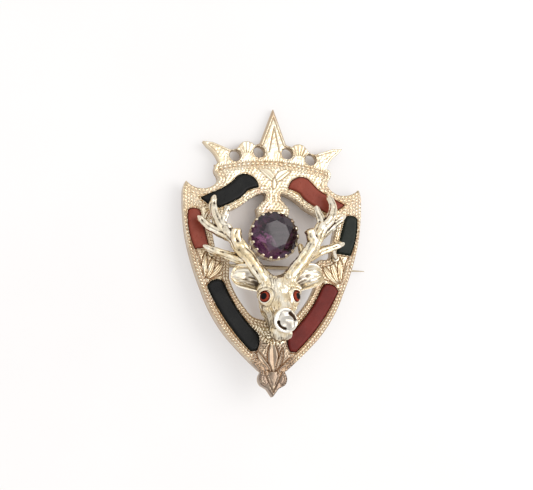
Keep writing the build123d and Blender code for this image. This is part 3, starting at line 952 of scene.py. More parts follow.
@dataclass(frozen=True)
class Studio:
    """The pale floor, the soft lights and the camera.

    Args:
        distance: from the lens to the plate, in millimetres.
        lens: the focal length, in millimetres.
        film: the film's width, in millimetres.
        lean: the plate's pitch seen by the camera, in degrees.
        turn: its yaw.
        roll: its roll.
        shift: how far the plate's middle lies from the picture's, in millimetres.
        sight: the nearest and the furthest that the camera sees, in metres.
        floor_radii: the floor's middle round and its edge, in metres.
        floor_corners: how many corners its edge has.
        room: the bright room's colour.
        room_light: how bright the room is.
        lights: a wide ceiling of light and a key from the upper right.
    """

    distance: float = 325.0
    lens: float = 109.8
    film: float = 36.0
    lean: float = -11.52
    turn: float = 12.96
    roll: float = -2.70
    shift: Pair = (-1.39, 0.99)
    sight: Pair = (0.01, 10.0)
    floor_radii: Pair = (0.12, 0.6)
    floor_corners: int = 64
    room: Triple = (0.97, 0.98, 1.0)
    room_light: float = 0.95
    lights: tuple[SoftBox, ...] = (
        SoftBox("ceiling", (0.10, 0.12, 0.90), 1.30, 1.9, (1.0, 0.985, 0.965)),
        SoftBox("key", (0.36, 0.06, 0.48), 0.46, 1.75, (1.0, 0.98, 0.95)),
    )

    def place_camera(self) -> None:
        """Puts the camera at the photograph's viewing angle."""
        turns = ((self.roll, "Z"), (self.turn, "Y"), (self.lean, "X"))
        roll, turn, lean = (Matrix.Rotation(math.radians(angle), 3, axis) for angle, axis in turns)
        view = np.array(roll @ turn @ lean)
        axes = view @ PLATE.axes
        spot = PLATE.to_frame(np.array([*self.shift, self.distance]) @ view)
        data = bpy.data.cameras.new("camera")
        data.lens = self.lens
        data.sensor_width = self.film
        data.clip_start, data.clip_end = self.sight
        camera = put_in_scene("camera", data)
        camera.matrix_world = Matrix.Translation(Vector(spot)) @ Matrix(axes.T.tolist()).to_4x4()
        bpy.context.scene.camera = camera

    def lay_floor(self) -> None:
        """A broad round of pale board under the brooch."""
        count = self.floor_corners
        turn = full_turn(count)
        rings = [np.stack([r * np.cos(turn), r * np.sin(turn), 0 * turn], 1) for r in self.floor_radii]
        faces = [grid_faces(2, count, round_columns=True)[:, ::-1], np.arange(count)[None]]
        floor = put_in_scene("floor", blend_mesh("floor", (np.concatenate(rings), faces)))
        floor.data.materials.append(PaleBoard().material())

    def light(self) -> None:
        """Hangs the lights and brightens the room."""
        for box in self.lights:
            box.hang()
        world = bpy.data.worlds.new("room")
        world.use_nodes = True
        back = world.node_tree.nodes["Background"]
        back.inputs["Color"].default_value = (*self.room, 1)
        back.inputs["Strength"].default_value = self.room_light
        bpy.context.scene.world = world
        bpy.context.scene.view_settings.view_transform = "Standard"


class Nodes:
    """A material's node tree, with short calls for the nodes that the finishes use."""

    def __init__(self, name: str) -> None:
        """Starts a material with only its shader.

        Args:
            name: the material's name.
        """
        self.material = bpy.data.materials.new(name)
        self.material.use_nodes = True
        self.tree = self.material.node_tree
        self.shader = self.tree.nodes["Principled BSDF"]

    def add(self, kind: str, **settings: object) -> bpy.types.Node:
        """A node of a kind, with its settings.

        Args:
            kind: Blender's name for it.
            settings: its own settings.

        Returns:
            The node.
        """
        node = self.tree.nodes.new(kind)
        for key, value in settings.items():
            setattr(node, key, value)
        return node

    def link(self, source: Socket, target: Socket) -> None:
        """Joins two sockets."""
        self.tree.links.new(source, target)

    def fix(self, numbers: dict[str, float]) -> None:
        """Sets numbers straight on the shader's own sockets."""
        for key, number in numbers.items():
            self.shader.inputs[key].default_value = number

    def noise(self, scale: float, detail: float = 2.0, stretch: Triple = (1, 1, 1)) -> Socket:
        """Noise on Object coordinates.

        Args:
            scale: blotches to the millimetre.
            detail: how fine it goes.
            stretch: the scale along each axis.

        Returns:
            The noise, about 0.5.
        """
        place = self.add("ShaderNodeTexCoord").outputs["Object"]
        mapping = self.add("ShaderNodeMapping")
        mapping.inputs["Scale"].default_value = stretch
        self.link(place, mapping.inputs["Vector"])
        noise = self.add("ShaderNodeTexNoise")
        noise.inputs["Scale"].default_value = scale / MM
        noise.inputs["Detail"].default_value = detail
        self.link(mapping.outputs["Vector"], noise.inputs["Vector"])
        return noise.outputs["Fac"]

    def math(self, operation: str, *terms: Socket | float) -> Socket:
        """A sum, product or other step of arithmetic.

        Args:
            operation: its name.
            terms: sockets and numbers.

        Returns:
            The result.
        """
        node = self.add("ShaderNodeMath", operation=operation)
        for target, term in zip(node.inputs, terms):
            if isinstance(term, float):
                target.default_value = term
            else:
                self.link(term, target)
        return node.outputs["Value"]

    def value(self, name: str) -> Socket:
        """A number stored on the piece's points."""
        return self.add("ShaderNodeAttribute", attribute_name=name).outputs["Fac"]

    def spread(
        self, source: Socket, low: float, high: float, start: float = 0.0, end: float = 1.0
    ) -> Socket:
        """Maps a range of numbers onto another, held at its ends.

        Args:
            source: the number.
            low: the range's lower end.
            high: its upper end.
            start: what the lower end becomes.
            end: what the upper end becomes.

        Returns:
            The new number.
        """
        node = self.add("ShaderNodeMapRange")
        for key, number in zip(("From Min", "From Max", "To Min", "To Max"), (low, high, start, end)):
            node.inputs[key].default_value = number
        self.link(source, node.inputs["Value"])
        return node.outputs["Result"]

    def blend(self, share: Socket, first: Socket | Triple, second: Socket | Triple) -> Socket:
        """Mixes two colours.

        Args:
            share: how much of the second.
            first: a colour.
            second: another.

        Returns:
            The mixed colour.
        """
        node = self.add("ShaderNodeMix", data_type="RGBA")
        self.link(share, node.inputs["Factor"])
        for key, colour in ((6, first), (7, second)):
            if isinstance(colour, tuple):
                node.inputs[key].default_value = (*colour, 1)
            else:
                self.link(colour, node.inputs[key])
        return node.outputs[2]

    def bump(
        self, source: Socket, depth: float, strength: float = 1.0, after: Socket | None = None
    ) -> Socket:
        """Bumps in the surface.

        Args:
            source: the height.
            depth: its depth in millimetres.
            strength: how much of it shows.
            after: bumps to add it to.

        Returns:
            The bent direction.
        """
        node = self.add("ShaderNodeBump")
        node.inputs["Distance"].default_value = depth * MM
        node.inputs["Strength"].default_value = strength
        self.link(source, node.inputs["Height"])
        if after is not None:
            self.link(after, node.inputs["Normal"])
        return node.outputs["Normal"]

    def colour(self, source: Socket) -> None:
        """Sends a colour to the shader."""
        self.link(source, self.shader.inputs["Base Color"])

    def roughness(self, source: Socket) -> None:
        """Sends a roughness to the shader."""
        self.link(source, self.shader.inputs["Roughness"])

    def relief(self, source: Socket) -> None:
        """Sends bumps to the shader."""
        self.link(source, self.shader.inputs["Normal"])


@dataclass(frozen=True)
class GiltSilver:
    """Silver with a pale, rubbed gilding, patina in its cuts, and painted shade on its walls, low on the
    collet, below the chin and under the antlers.

    Args:
        name: the material's name.
        bright: the rubbed metal's colour.
        gilt: the colour where the gilding stays.
        tarnish_and_shade: the colour of the patina in the cuts and of the painted shade on the walls and low
            on the collet.
        blush: the colour of its few coppery blotches.
        stain: the colour of the painted shade stored on its points: below the chin, under the antlers and
            along the lower rim.
        gilding: how much of the metal is still gilt.
        polish: the roughness of the rubbed metal.
        matt: the roughness in the cuts.
        grain_depth: the depth of the fine unevenness, in millimetres.
    """

    name: str
    bright: Triple = (0.77, 0.685, 0.52)
    gilt: Triple = (0.72, 0.59, 0.40)
    tarnish_and_shade: Triple = (0.44, 0.305, 0.20)
    blush: Triple = (0.66, 0.45, 0.34)
    stain: Triple = (0.205, 0.150, 0.113)
    gilding: float = 0.5
    polish: float = 0.18
    matt: float = 0.48
    grain_depth: float = 0.02

    def material(self) -> bpy.types.Material:
        """Builds the material. It reads the recess and the painted shade stored on the piece's points.

        Returns:
            The material.
        """
        nodes = Nodes(self.name)
        nodes.fix({"Metallic": 1.0})
        recess = nodes.value("recess")
        patches = nodes.spread(nodes.noise(0.35, 4.0), 0.62 - 0.4 * self.gilding, 0.78 - 0.4 * self.gilding)
        metal = nodes.blend(patches, self.bright, self.gilt)
        blush = nodes.spread(nodes.noise(0.22, 3.0), 0.60, 0.70, 0.0, 0.55)
        metal = nodes.blend(blush, metal, self.blush)
        # Painted shade below the chin, under the antlers and along the lower rim.
        metal = nodes.blend(nodes.value("stain"), metal, self.stain)
        # Patina in the cuts, with painted shade on the walls and low on the collet.
        nodes.colour(nodes.blend(recess, metal, self.tarnish_and_shade))
        nodes.roughness(nodes.spread(recess, 0.0, 1.0, self.polish, self.matt))
        nodes.relief(nodes.bump(nodes.noise(5.0, 3.0), self.grain_depth, 0.5))
        return nodes.material


@dataclass(frozen=True)
class CastSilver:
    """The casting's silver: whiter where it is rubbed and with a painted highlight on the nose, brown with
    patina in its hollows and with painted shade under the jaw and the nose, in the ears' hollows and low on
    the antlers.

    Args:
        name: the material's name.
        rubbed: the colour of the places that are rubbed most, and of the painted highlight on the nose.
        bright: the rubbed metal's colour.
        gilt: the colour where the gilding stays.
        tarnish_and_shade: the colour of the patina in the hollows and of the painted shade.
        polish: the roughness of the rubbed metal.
        matt: the roughness in the hollows.
    """

    name: str = "cast_silver"
    rubbed: Triple = (0.88, 0.835, 0.74)
    bright: Triple = (0.93, 0.84, 0.67)
    gilt: Triple = (0.80, 0.64, 0.39)
    tarnish_and_shade: Triple = (0.055, 0.03, 0.018)
    polish: float = 0.13
    matt: float = 0.45

    def material(self) -> bpy.types.Material:
        """Builds the material. It reads the recess and the brightness stored on the piece's points.

        Returns:
            The material.
        """
        nodes = Nodes(self.name)
        nodes.fix({"Metallic": 1.0})
        patches = nodes.spread(nodes.noise(0.5, 4.0), 0.42, 0.62)
        metal = nodes.blend(patches, self.gilt, self.bright)
        # The brightness includes a painted highlight on the nose.
        metal = nodes.blend(nodes.value("bright"), metal, self.rubbed)
        recess = nodes.value("recess")
        # Patina in the hollows, and painted shade under the jaw, the nose, in the ears and low on the
        # antlers.
        nodes.colour(nodes.blend(recess, metal, self.tarnish_and_shade))
        nodes.roughness(nodes.spread(recess, 0.0, 1.0, self.polish, self.matt))
        broad = nodes.bump(nodes.noise(1.3, 3.0), 0.10, 0.6)
        nodes.relief(nodes.bump(nodes.noise(4.0, 3.0), 0.02, 0.5, broad))
        return nodes.material


@dataclass(frozen=True)
class PinMetal:
    """Drawn wire with fine lines along it.

    Args:
        name: the material's name.
        bright: the wire's colour.
        dulled: how much of that colour its dull patches keep.
    """

    name: str = "pin_wire"
    bright: Triple = (0.50, 0.41, 0.28)
    dulled: float = 0.7

    def material(self) -> bpy.types.Material:
        """Builds the material: lines along the wire, and a few dull patches.

        Returns:
            The material.
        """
        nodes = Nodes(self.name)
        nodes.fix({"Metallic": 1.0})
        lines = nodes.noise(1.0, 3.0, (0.08, 6.0, 6.0))
        dull = nodes.spread(nodes.noise(0.5, 3.0), 0.5, 0.7)
        nodes.colour(nodes.blend(dull, self.bright, tuple(self.dulled * part for part in self.bright)))
        nodes.roughness(nodes.spread(lines, 0.3, 0.7, 0.22, 0.42))
        nodes.relief(nodes.bump(lines, 0.01, 0.4))
        return nodes.material


@dataclass(frozen=True)
class HardStone:
    """A polished slab of jasper, onyx or bloodstone.

    Args:
        name: the material's name.
        ground: the main colour.
        cloud: the colour of its clouds.
        fleck: the colour of its few flecks.
        flecks: how much of it is flecked.
        polish: its roughness.
    """

    name: str
    ground: Triple
    cloud: Triple
    fleck: Triple
    flecks: float = 0.1
    polish: float = 0.3

    def material(self) -> bpy.types.Material:
        """Builds the material: clouds and flecks in the stone under a worn polish.

        Returns:
            The material.
        """
        nodes = Nodes(self.name)
        clouds = nodes.spread(nodes.noise(0.45, 5.0), 0.35, 0.68)
        stone = nodes.blend(clouds, self.ground, self.cloud)
        spots = nodes.spread(nodes.noise(1.8, 4.0), 0.74 - 0.3 * self.flecks, 0.82 - 0.3 * self.flecks)
        nodes.colour(nodes.blend(spots, stone, self.fleck))
        wear = nodes.noise(2.5, 4.0)
        nodes.roughness(nodes.spread(wear, 0.3, 0.75, self.polish - 0.06, self.polish + 0.12))
        nodes.fix({"IOR": 1.5, "Specular IOR Level": 0.15})
        nodes.relief(nodes.bump(nodes.noise(3.0, 3.0), 0.012, 0.5))
        return nodes.material


@dataclass(frozen=True)
class PurpleStone:
    """A clear, deeply coloured cut stone.

    Args:
        name: the material's name.
        colour: its main colour.
        zone: the colour of its paler zones.
    """

    name: str = "amethyst"
    colour: Triple = (0.046, 0.010, 0.034)
    zone: Triple = (0.085, 0.026, 0.062)

    def material(self) -> bpy.types.Material:
        """Builds the material: clear purple with faint colour zones.

        Returns:
            The material.
        """
        nodes = Nodes(self.name)
        zones = nodes.spread(nodes.noise(0.25, 1.0, (1.0, 2.5, 1.0)), 0.4, 0.6)
        nodes.colour(nodes.blend(zones, self.colour, self.zone))
        nodes.fix({"Transmission Weight": 0.9, "IOR": 1.55, "Specular IOR Level": 0.12})
        nodes.roughness(nodes.spread(nodes.noise(1.2, 3.0), 0.4, 0.8, 0.02, 0.07))
        return nodes.material


@dataclass(frozen=True)
class EyeGlass:
    """A red-brown glass eye with a dark pupil.

    Args:
        name: the material's name.
        pupil: the pupil's colour.
        amber: the iris's colour.
        dark: the colour of the iris's streaks and edge.
        pupil_edge: where the pupil ends, as angles from the middle of the gaze in radians.
        iris_edge: where the iris darkens.
    """

    name: str = "eye_glass"
    pupil: Triple = (0.008, 0.005, 0.005)
    amber: Triple = (0.30, 0.042, 0.018)
    dark: Triple = (0.08, 0.010, 0.006)
    pupil_edge: Pair = (0.60, 0.68)
    iris_edge: Pair = (0.86, 1.16)

    def material(self) -> bpy.types.Material:
        """Builds the material. It reads how far a point lies from the eye's middle.

        Returns:
            The material.
        """
        nodes = Nodes(self.name)
        away = nodes.value("away")
        ring = nodes.spread(away, *self.pupil_edge)
        edge = nodes.spread(away, *self.iris_edge)
        streaks = nodes.spread(nodes.noise(3.5, 2.0), 0.35, 0.65, 0.0, 0.6)
        iris = nodes.blend(streaks, nodes.blend(edge, self.amber, self.dark), self.dark)
        iris = nodes.blend(streaks, self.amber, iris)
        nodes.colour(nodes.blend(ring, self.pupil, nodes.blend(edge, iris, self.dark)))
        nodes.fix({"Roughness": 0.07, "Specular IOR Level": 0.05})
        nodes.fix({"Coat Weight": 0.05, "Coat Roughness": 0.03})
        nodes.relief(nodes.bump(nodes.noise(2.0, 2.0), 0.01, 0.3))
        return nodes.material


@dataclass(frozen=True)
class PaleBoard:
    """The almost white board, brightly lit, with a painted glow in the open and a painted shadow under the
    brooch.

    Args:
        name: the material's name.
        pale: its colour in the open.
        dull: the colour of the painted shadow under the brooch.
        glow: how far the painted glow lights the open board beyond white, which keeps its shadows faint.
        half_width: half the width of the painted shadow, in millimetres.
        ends: the lower and upper ends of that part.
        taper: how fast that part narrows towards its foot.
        blur: the width of its soft edge.
    """

    name: str = "pale_board"
    pale: Triple = (0.36, 0.352, 0.348)
    dull: Triple = (0.80, 0.765, 0.75)
    glow: float = 1.44
    half_width: float = 11.5
    ends: Pair = (-18.0, 23.0)
    taper: float = 0.42
    blur: float = 3.0

    def shade(self, nodes: Nodes) -> Socket:
        """1 in the open and 0 in the painted shadow under the brooch, from the board's Object coordinates.

        Args:
            nodes: the board's nodes.

        Returns:
            The share.
        """
        place = nodes.add("ShaderNodeSeparateXYZ")
        nodes.link(nodes.add("ShaderNodeTexCoord").outputs["Object"], place.inputs[0])
        across = nodes.math("ABSOLUTE", place.outputs["X"])
        lower = nodes.math("MAXIMUM", nodes.math("MULTIPLY", place.outputs["Y"], -self.taper), 0.0)
        beside = nodes.math("SUBTRACT", nodes.math("ADD", across, lower), self.half_width * MM)
        above = nodes.math("SUBTRACT", place.outputs["Y"], self.ends[1] * MM)
        below = nodes.math("SUBTRACT", self.ends[0] * MM, place.outputs["Y"])
        gap = nodes.math("MAXIMUM", nodes.math("MAXIMUM", above, below), beside)
        return nodes.spread(gap, -self.blur * MM, 0.0)

    def material(self) -> bpy.types.Material:
        """Builds the material: faint clouds, a fine tooth, a painted shadow under the brooch and a painted
        glow in the open.

        Returns:
            The material.
        """
        nodes = Nodes(self.name)
        clouds = nodes.spread(nodes.noise(0.02, 4.0), 0.35, 0.65)
        pale = nodes.blend(clouds, tuple(0.95 * part for part in self.pale), self.pale)
        open_air = self.shade(nodes)
        # Painted shadow: the board is dull under the brooch.
        nodes.colour(nodes.blend(open_air, self.dull, pale))
        # Painted light: the open board glows, so that its shadows stay faint.
        nodes.link(nodes.blend(open_air, (0.0, 0.0, 0.0), self.pale), nodes.shader.inputs["Emission Color"])
        nodes.fix({"Emission Strength": self.glow, "Roughness": 0.85})
        nodes.relief(nodes.bump(nodes.noise(0.8, 4.0), 0.05, 0.25))
        return nodes.material


class Stone(Enum):
    """The slabs' stones, each with its finish and its name."""

    BLACK = ("black_stone", (0.004, 0.004, 0.004), (0.009, 0.009, 0.008), (0.03, 0.028, 0.02), 0.0)
    GREEN = ("green_stone", (0.007, 0.010, 0.007), (0.014, 0.018, 0.013), (0.05, 0.009, 0.007), 0.1)
    RED = ("red_jasper", (0.19, 0.035, 0.020), (0.25, 0.055, 0.034), (0.10, 0.016, 0.011), 0.25)
    DEEP_RED = ("deep_red_jasper", (0.105, 0.010, 0.007), (0.15, 0.018, 0.013), (0.055, 0.006, 0.005), 0.15)

    @property
    def slot(self) -> str:
        """The stone's name."""
        return self.value[0]

    def finish(self) -> HardStone:
        """The stone's finish."""
        return HardStone(*self.value)


def outward(mesh: Mesh) -> Mesh:
    """A closed mesh with its faces turned outwards: the sum of its corners' signed volumes tells.

    Args:
        mesh: the closed mesh.

    Returns:
        The mesh, flipped if need be.
    """
    points, faces = mesh
    volume = 0.0
    for part in faces:
        first = points[part[:, 0]]
        for k in range(1, part.shape[1] - 1):
            volume += np.einsum("ij,ij->", first, np.cross(points[part[:, k]], points[part[:, k + 1]]))
    return mesh if volume > 0 else flipped(mesh)


def ball_grid(count: int) -> Mesh:
    """Directions evenly spread over a ball: a cube's square grids pushed out to length 1.

    Args:
        count: faces along a cube's edge.

    Returns:
        The directions, and the faces between them.
    """
    line = np.tan(np.linspace(-math.pi / 4, math.pi / 4, count + 1))
    u, v = (part.ravel() for part in np.meshgrid(line, line, indexing="ij"))
    ones = np.ones_like(u)
    sides = []
    for axis in range(3):
        for sign in (-1, 1):
            columns = [u, v]
            columns.insert(axis, sign * ones)
            sides.append(np.stack(columns, 1))
    points = np.concatenate(sides)
    quads = np.concatenate([grid_faces(count + 1, count + 1) + k * len(u) for k in range(6)])
    _, firsts, numbers = np.unique(np.round(points, 5), axis=0, return_index=True, return_inverse=True)
    points, quads = unit(points[firsts]), numbers.ravel()[quads]
    a, b, c = (points[quads[:, k]] for k in range(3))
    turned = np.einsum("ij,ij->i", np.cross(b - a, c - a), a) < 0
    quads[turned] = quads[turned][:, ::-1]
    return points, [quads]


def skin_normals(points: Array, faces: Array) -> Array:
    """Outward directions at the points of a four-cornered mesh: the sums of its faces' directions.

    Args:
        points: the mesh's points.
        faces: its faces.

    Returns:
        A direction for each point.
    """
    across = points[faces[:, 2]] - points[faces[:, 0]]
    back = points[faces[:, 3]] - points[faces[:, 1]]
    direction = np.cross(across, back)
    total = np.zeros_like(points)
    for k in range(4):
        np.add.at(total, faces[:, k], direction)
    return unit(total)


def neighbour_sum(values: Array, edges: Array) -> Array:
    """For each point, the sum of its neighbours' numbers along the edges.

    Args:
        values: a number for each point.
        edges: pairs of points.

    Returns:
        The sums.
    """
    first, second = edges.T
    count = len(values)
    return np.bincount(first, values[second], count) + np.bincount(second, values[first], count)


def evened(values: Array, edges: Array, rounds: int) -> Array:
    """Numbers on points, averaged with their neighbours' along the edges for some rounds.

    Args:
        values: a number for each point.
        edges: pairs of points.
        rounds: how often.

    Returns:
        The averaged numbers.
    """
    degree = np.maximum(np.bincount(edges.ravel(), minlength=len(values)), 1)
    for _ in range(rounds):
        values = 0.5 * values + 0.5 * neighbour_sum(values, edges) / degree
    return values


def hollowness(points: Array, faces: Array, normals: Array, rounds: int = 2) -> Array:
    """How hollow the skin is at each point, in 1/mm; less than 0 on ridges.

    Formula: twice the step from a point to the middle of its neighbours, along the outward direction,
    over the square of the mean distance to them.

    Args:
        points: the skin's points.
        faces: its faces.
        normals: its outward directions.
        rounds: how often the result is averaged.

    Returns:
        A number for each point.
    """
    edges = np.concatenate([faces[:, [k, (k + 1) % 4]] for k in range(4)])
    edges = np.unique(np.sort(edges, axis=1), axis=0)
    degree = np.maximum(np.bincount(edges.ravel(), minlength=len(points)), 1)
    middle = np.stack([neighbour_sum(points[:, k], edges) for k in range(3)], 1)
    length = np.linalg.norm(points[edges[:, 0]] - points[edges[:, 1]], axis=1)
    step = np.einsum("ij,ij->i", middle / degree[:, None] - points, normals)
    return evened(2 * step / np.mean(length) ** 2, edges, rounds)


@dataclass
class Engraving:
    """The cuts and raised beads on the plate's face.

    Args:
        flat: places on the face.
        outlines: the plate's outlines.
        border: where the rim's beads start and end, from the edge.
        wing: the x and y past which the broad corners lie.
        crown_line: the height up the plate at which the body ends.
        arch: how the lines under the crown bend, as a share of x².
        net_rise: the height of a row of dots, as a share of their pitch.
    """

    flat: Array
    outlines: list[Outline]
    border: Pair = (0.12, 1.38)
    wing: Pair = (12.2, 7.8)
    crown_line: float = 17.0
    arch: float = 0.0125
    net_rise: float = 0.866
    height: Array = field(init=False)

    def __post_init__(self) -> None:
        """Starts with a worn ground."""
        self.height = 0.018 * grain(self.flat, 0.35, 1) + 0.02 * grain(self.flat, 1.3, 2)

    @property
    def rim(self) -> Outline:
        """The plate's outer edge."""
        return of_kind(self.outlines, Edge.RIM)[0]

    @property
    def arched(self) -> Array:
        """How far up the plate each place lies, along lines that bend with the crown: y + arch · x²."""
        return self.flat[:, 1] + self.arch * self.flat[:, 0] ** 2

    def cut(self, mask: Array, height: Array | float) -> None:
        """Sets the height where the mask holds."""
        self.height = np.where(mask, height + 0.25 * self.height, self.height)

    def sink(self, mask: Array, depth: Array) -> None:
        """Lowers the face where the mask holds."""
        self.height -= np.where(mask, depth, 0)

    def groove(self, points: Array | list[Pair], width: float, depth: float) -> None:
        """Cuts a line."""
        distance, _ = Line(np.asarray(points, float)).measure(self.flat)
        self.height -= depth * ridge(distance, width)

    def borders(self) -> None:
        """Rows of slanted beads along the rim and round the two openings."""
        away, along = self.rim.measure(self.flat)
        x, y = self.flat.T
        on_wing = (np.abs(x) > self.wing[0]) & (y > self.wing[1])
        body = y < self.crown_line - 0.3 * np.clip(np.abs(x) - 8, 0, 4)
        rows = [BeadRow(0.42, 0.72, 0.62, 0.54, 0.5), BeadRow(1.02, 0.72, 0.60, 0.52, -0.5, 0.5)]
        leans = (-0.5, 0.5, -0.5, 0.5)
        extra = [BeadRow(1.62 + 0.6 * k, 0.72, 0.60, 0.52, lean, 0.25 * k) for k, lean in enumerate(leans)]
        self.rows(body & (away < self.border[1]) & (away > self.border[0]), rows, away, along)
        self.rows(on_wing & (away >= self.border[1]) & (away < 3.8), extra, away, along)
        self.sink(body & ~on_wing, 0.12 * ridge(away - 1.45, 0.08))
        free = away > 1.5
        rope = [BeadRow(0.42, 0.62, 0.56, 0.5, 0.6)]
        low_rope = [BeadRow(1.0, 0.62, 0.54, 0.48, -0.6)]
        for outline in of_kind(self.outlines, Edge.OPENING):
            gap, along = outline.measure(self.flat)
            self.rows(free & (gap < 0.72) & (gap > 0.1), rope, gap, along)
            self.rows(free & (y < -1.0) & (gap >= 0.72) & (gap < 1.28), low_rope, gap, along)
            self.sink(free, 0.10 * ridge(gap - 1.36, 0.07))

    def rows(self, mask: Array, rows: list[BeadRow], distance: Array, along: Array) -> None:
        """Sinks a band and raises rows of beads in it."""
        share = np.max([row.share(distance, along) for row in rows], axis=0)
        self.cut(mask, -0.15 + 0.17 * share)

    def cells_and_holes(self) -> None:
        """A groove and a fine bright edge round each stone and each hole."""
        for outline in of_kind(self.outlines, Edge.CELL, Edge.CROWN_HOLE):
            distance, _ = outline.measure(self.flat)
            if outline.kind is Edge.CELL:
                self.cut(distance < 0.22, 0.05)
                self.height -= 0.13 * ridge(distance - 0.34, 0.09)
            else:
                self.height -= 0.12 * ridge(distance - 0.32, 0.08)

    def dots(self, mask: Array, pitch: float, radius: float, depth: float) -> None:
        """Punched dots on a staggered net, none quite in its place nor as deep as the next.

        Args:
            mask: where they lie.
            pitch: their spacing.
            radius: a dot's radius.
            depth: its depth.
        """
        x, y = self.flat.T
        row = np.round(y / (pitch * self.net_rise))
        start = np.where(row % 2 == 0, 0, pitch / 2)
        column = np.round((x - start) / pitch)
        net = np.stack([column, row], 1)
        off_x, off_y, force = (grain(net, 1.0, seed) for seed in (61, 62, 63))
        gap_x = x - start - (column + 0.22 * off_x) * pitch
        gap_y = y - (row * self.net_rise + 0.18 * off_y) * pitch
        self.sink(mask, depth * (0.75 + 0.35 * force) * ridge(np.hypot(gap_x, gap_y), radius))

    def crown(self) -> None:
        """The band under the crown with its beads, the rays in the lobes and the spike's facets."""
        x = self.flat[:, 0]
        arched = self.arched
        band = np.abs(x) < 11.4
        pearls = BeadRow(17.82, 0.95, 0.80, 0.62).share(arched, x)
        self.cut(band & (np.abs(arched - 17.82) < 0.36), -0.2 + 0.27 * pearls)
        for line in (17.38, 18.26):
            self.sink(band, 0.14 * ridge(arched - line, 0.07))
        self.sink(band, 0.13 * BeadRow(18.55, 0.5, 0.3, 0.3).share(arched, x))
        teeth = BeadRow(17.02, 0.62, 0.46, 0.46, 0.4).share(arched, x)
        self.cut(band & (np.abs(arched - 17.02) < 0.26), -0.14 + 0.18 * teeth)
        uneven = 0.6 + 0.4 * grain(self.flat, 0.9, 7)
        for side in Side:
            rest = self.flat - (side.value * 5.4, 18.3)
            far = np.hypot(*rest.T)
            turn = np.arctan2(rest[:, 0], rest[:, 1])
            rays = np.cos(turn * 13) ** 2
            fan = (far > 1.5) & (far < 4.1) & (arched > 18.75) & (np.abs(turn) < 1.35)
            self.sink(fan, 0.22 * uneven * (1 - rays) ** 2 * smooth_step(4.1, 3.6, far))
            self.sink(arched > 18.75, 0.12 * ridge(far - 4.25, 0.08))
        self.spike()

    def spike(self) -> None:
        """The tall middle of the crown, bevelled and lined on both flanks, and the dotted horns."""
        x, y = self.flat.T
        distance, _ = self.rim.measure(self.flat)
        spike = (y > 18.9) & (np.abs(x) < 3.4)
        self.sink(spike, 0.20 * ridge(distance - 0.62, 0.10))
        self.sink(spike & (distance < 0.5), 0.25 * (1 - distance / 0.5))
        self.groove([(-0.9, 20.3), (0.1, 25.6), (1.2, 20.3)], 0.10, 0.20)
        horns = (y > 18.6) & (np.abs(x) > 8.2)
        self.sink(horns, 0.14 * ridge(distance - 0.45, 0.07))
        self.dots(horns & (distance > 0.6), 0.75, 0.16, 0.16)

    def leaves(self) -> None:
        """The worked leaves: beside the openings, under the crown and above the finial."""
        sides = [
            LeafCut((13.4, -6.3), (10.0, -2.3), 0.62, 0.35, 0.14, 2),
            LeafCut((13.6, -6.2), (11.9, -1.2), 0.60, 0.2, 0.14, 2),
            LeafCut((14.0, -6.2), (13.7, -0.9), 0.62, -0.1, 0.15, 2),
            LeafCut((14.4, -6.3), (15.5, -1.0), 0.58, -0.25, 0.14, 2),
            LeafCut((12.9, -6.8), (9.4, -5.3), 0.50, 0.25, 0.12, 2),
        ]
        low = [
            LeafCut((0.1, -24.4), (-0.2, -18.2), 1.15, 0.0, 0.07, 1, 0.26),
            LeafCut((0.6, -24.3), (1.9, -19.6), 0.42, -0.2, 0.06, 1, 0.24),
            LeafCut((-0.4, -24.3), (-3.4, -20.1), 0.62, 0.35, 0.07, 1, 0.26),
            LeafCut((-0.6, -25.0), (-3.6, -22.4), 0.45, 0.25, 0.06, 1, 0.24),
            LeafCut((0.8, -24.4), (3.5, -21.6), 0.50, -0.3, 0.07, 1, 0.24),
            LeafCut((0.9, -25.1), (2.7, -23.4), 0.34, -0.1, 0.06, 1, 0.22),
        ]
        high = [
            LeafCut((0.35, 14.2), (-3.2, 16.9), 0.80, -0.35, 0.05, 1, 0.15),
            LeafCut((0.35, 14.2), (3.6, 16.6), 0.80, 0.35, 0.05, 1, 0.15),
            LeafCut((0.1, 12.5), (0.2, 15.0), 0.42, 0.0, 0.05, 0, 0.15),
        ]
        for leaf in sides + [leaf.mirrored() for leaf in sides] + low + high:
            leaf.work(self.flat, self.height)

    def pearls(self) -> None:
        """A row of pearls that swings under the muzzle."""
        line = Line(smooth_path([(-5.4, -14.8), (-3, -17), (0, -18.6), (3, -17), (5.4, -14.8)], 60))
        distance, along = line.measure(self.flat)
        share = BeadRow(0.0, 0.6, 0.54, 0.9).share(distance, along)
        self.cut(distance < 0.36, -0.2 + 0.38 * share)

    def finial(self) -> None:
        """The three rounded ends at the foot of the shield."""
        x, y = self.flat.T
        self.height *= 1 - 0.75 * smooth_step(-24.6, -25.2, y)
        for place in ((-2.2, -26.2), (2.2, -26.2)):
            gap = np.hypot(x - place[0], y - place[1])
            self.height += 0.08 * np.sqrt(np.clip(1 - (gap / 1.05) ** 2, 0, 1))
        drop = np.hypot(x / 1.3, (y + 26.7) / 2.4)
        self.height += 0.10 * np.sqrt(np.clip(1 - drop**2, 0, 1))
        lines = (
            (((1.8, -24.4), (1.0, -26.4), (0, -28.4)), 0.10, 0.20),
            (((0.9, -25.4), (0.3, -27.0)), 0.08, 0.14),
            (((2.7, -25.6), (2.5, -26.6), (1.5, -27.1)), 0.08, 0.14),
        )
        for side in Side:
            for line, width, depth in lines:
                self.groove(np.array(line) * (side.value, 1), width, depth)

    def worked(self) -> Array:
        """All the work, in the order in which it was cut.

        Returns:
            The face's heights.
        """
        y = self.flat[:, 1]
        self.dots((y > 7.8) & (self.arched < 16.75), 0.72, 0.17, 0.19)
        self.dots((y < 6.0) & (y > -24.0), 0.60, 0.15, 0.16)
        self.leaves()
        self.borders()
        self.crown()
        self.pearls()
        self.finial()
        self.cells_and_holes()
        return self.height


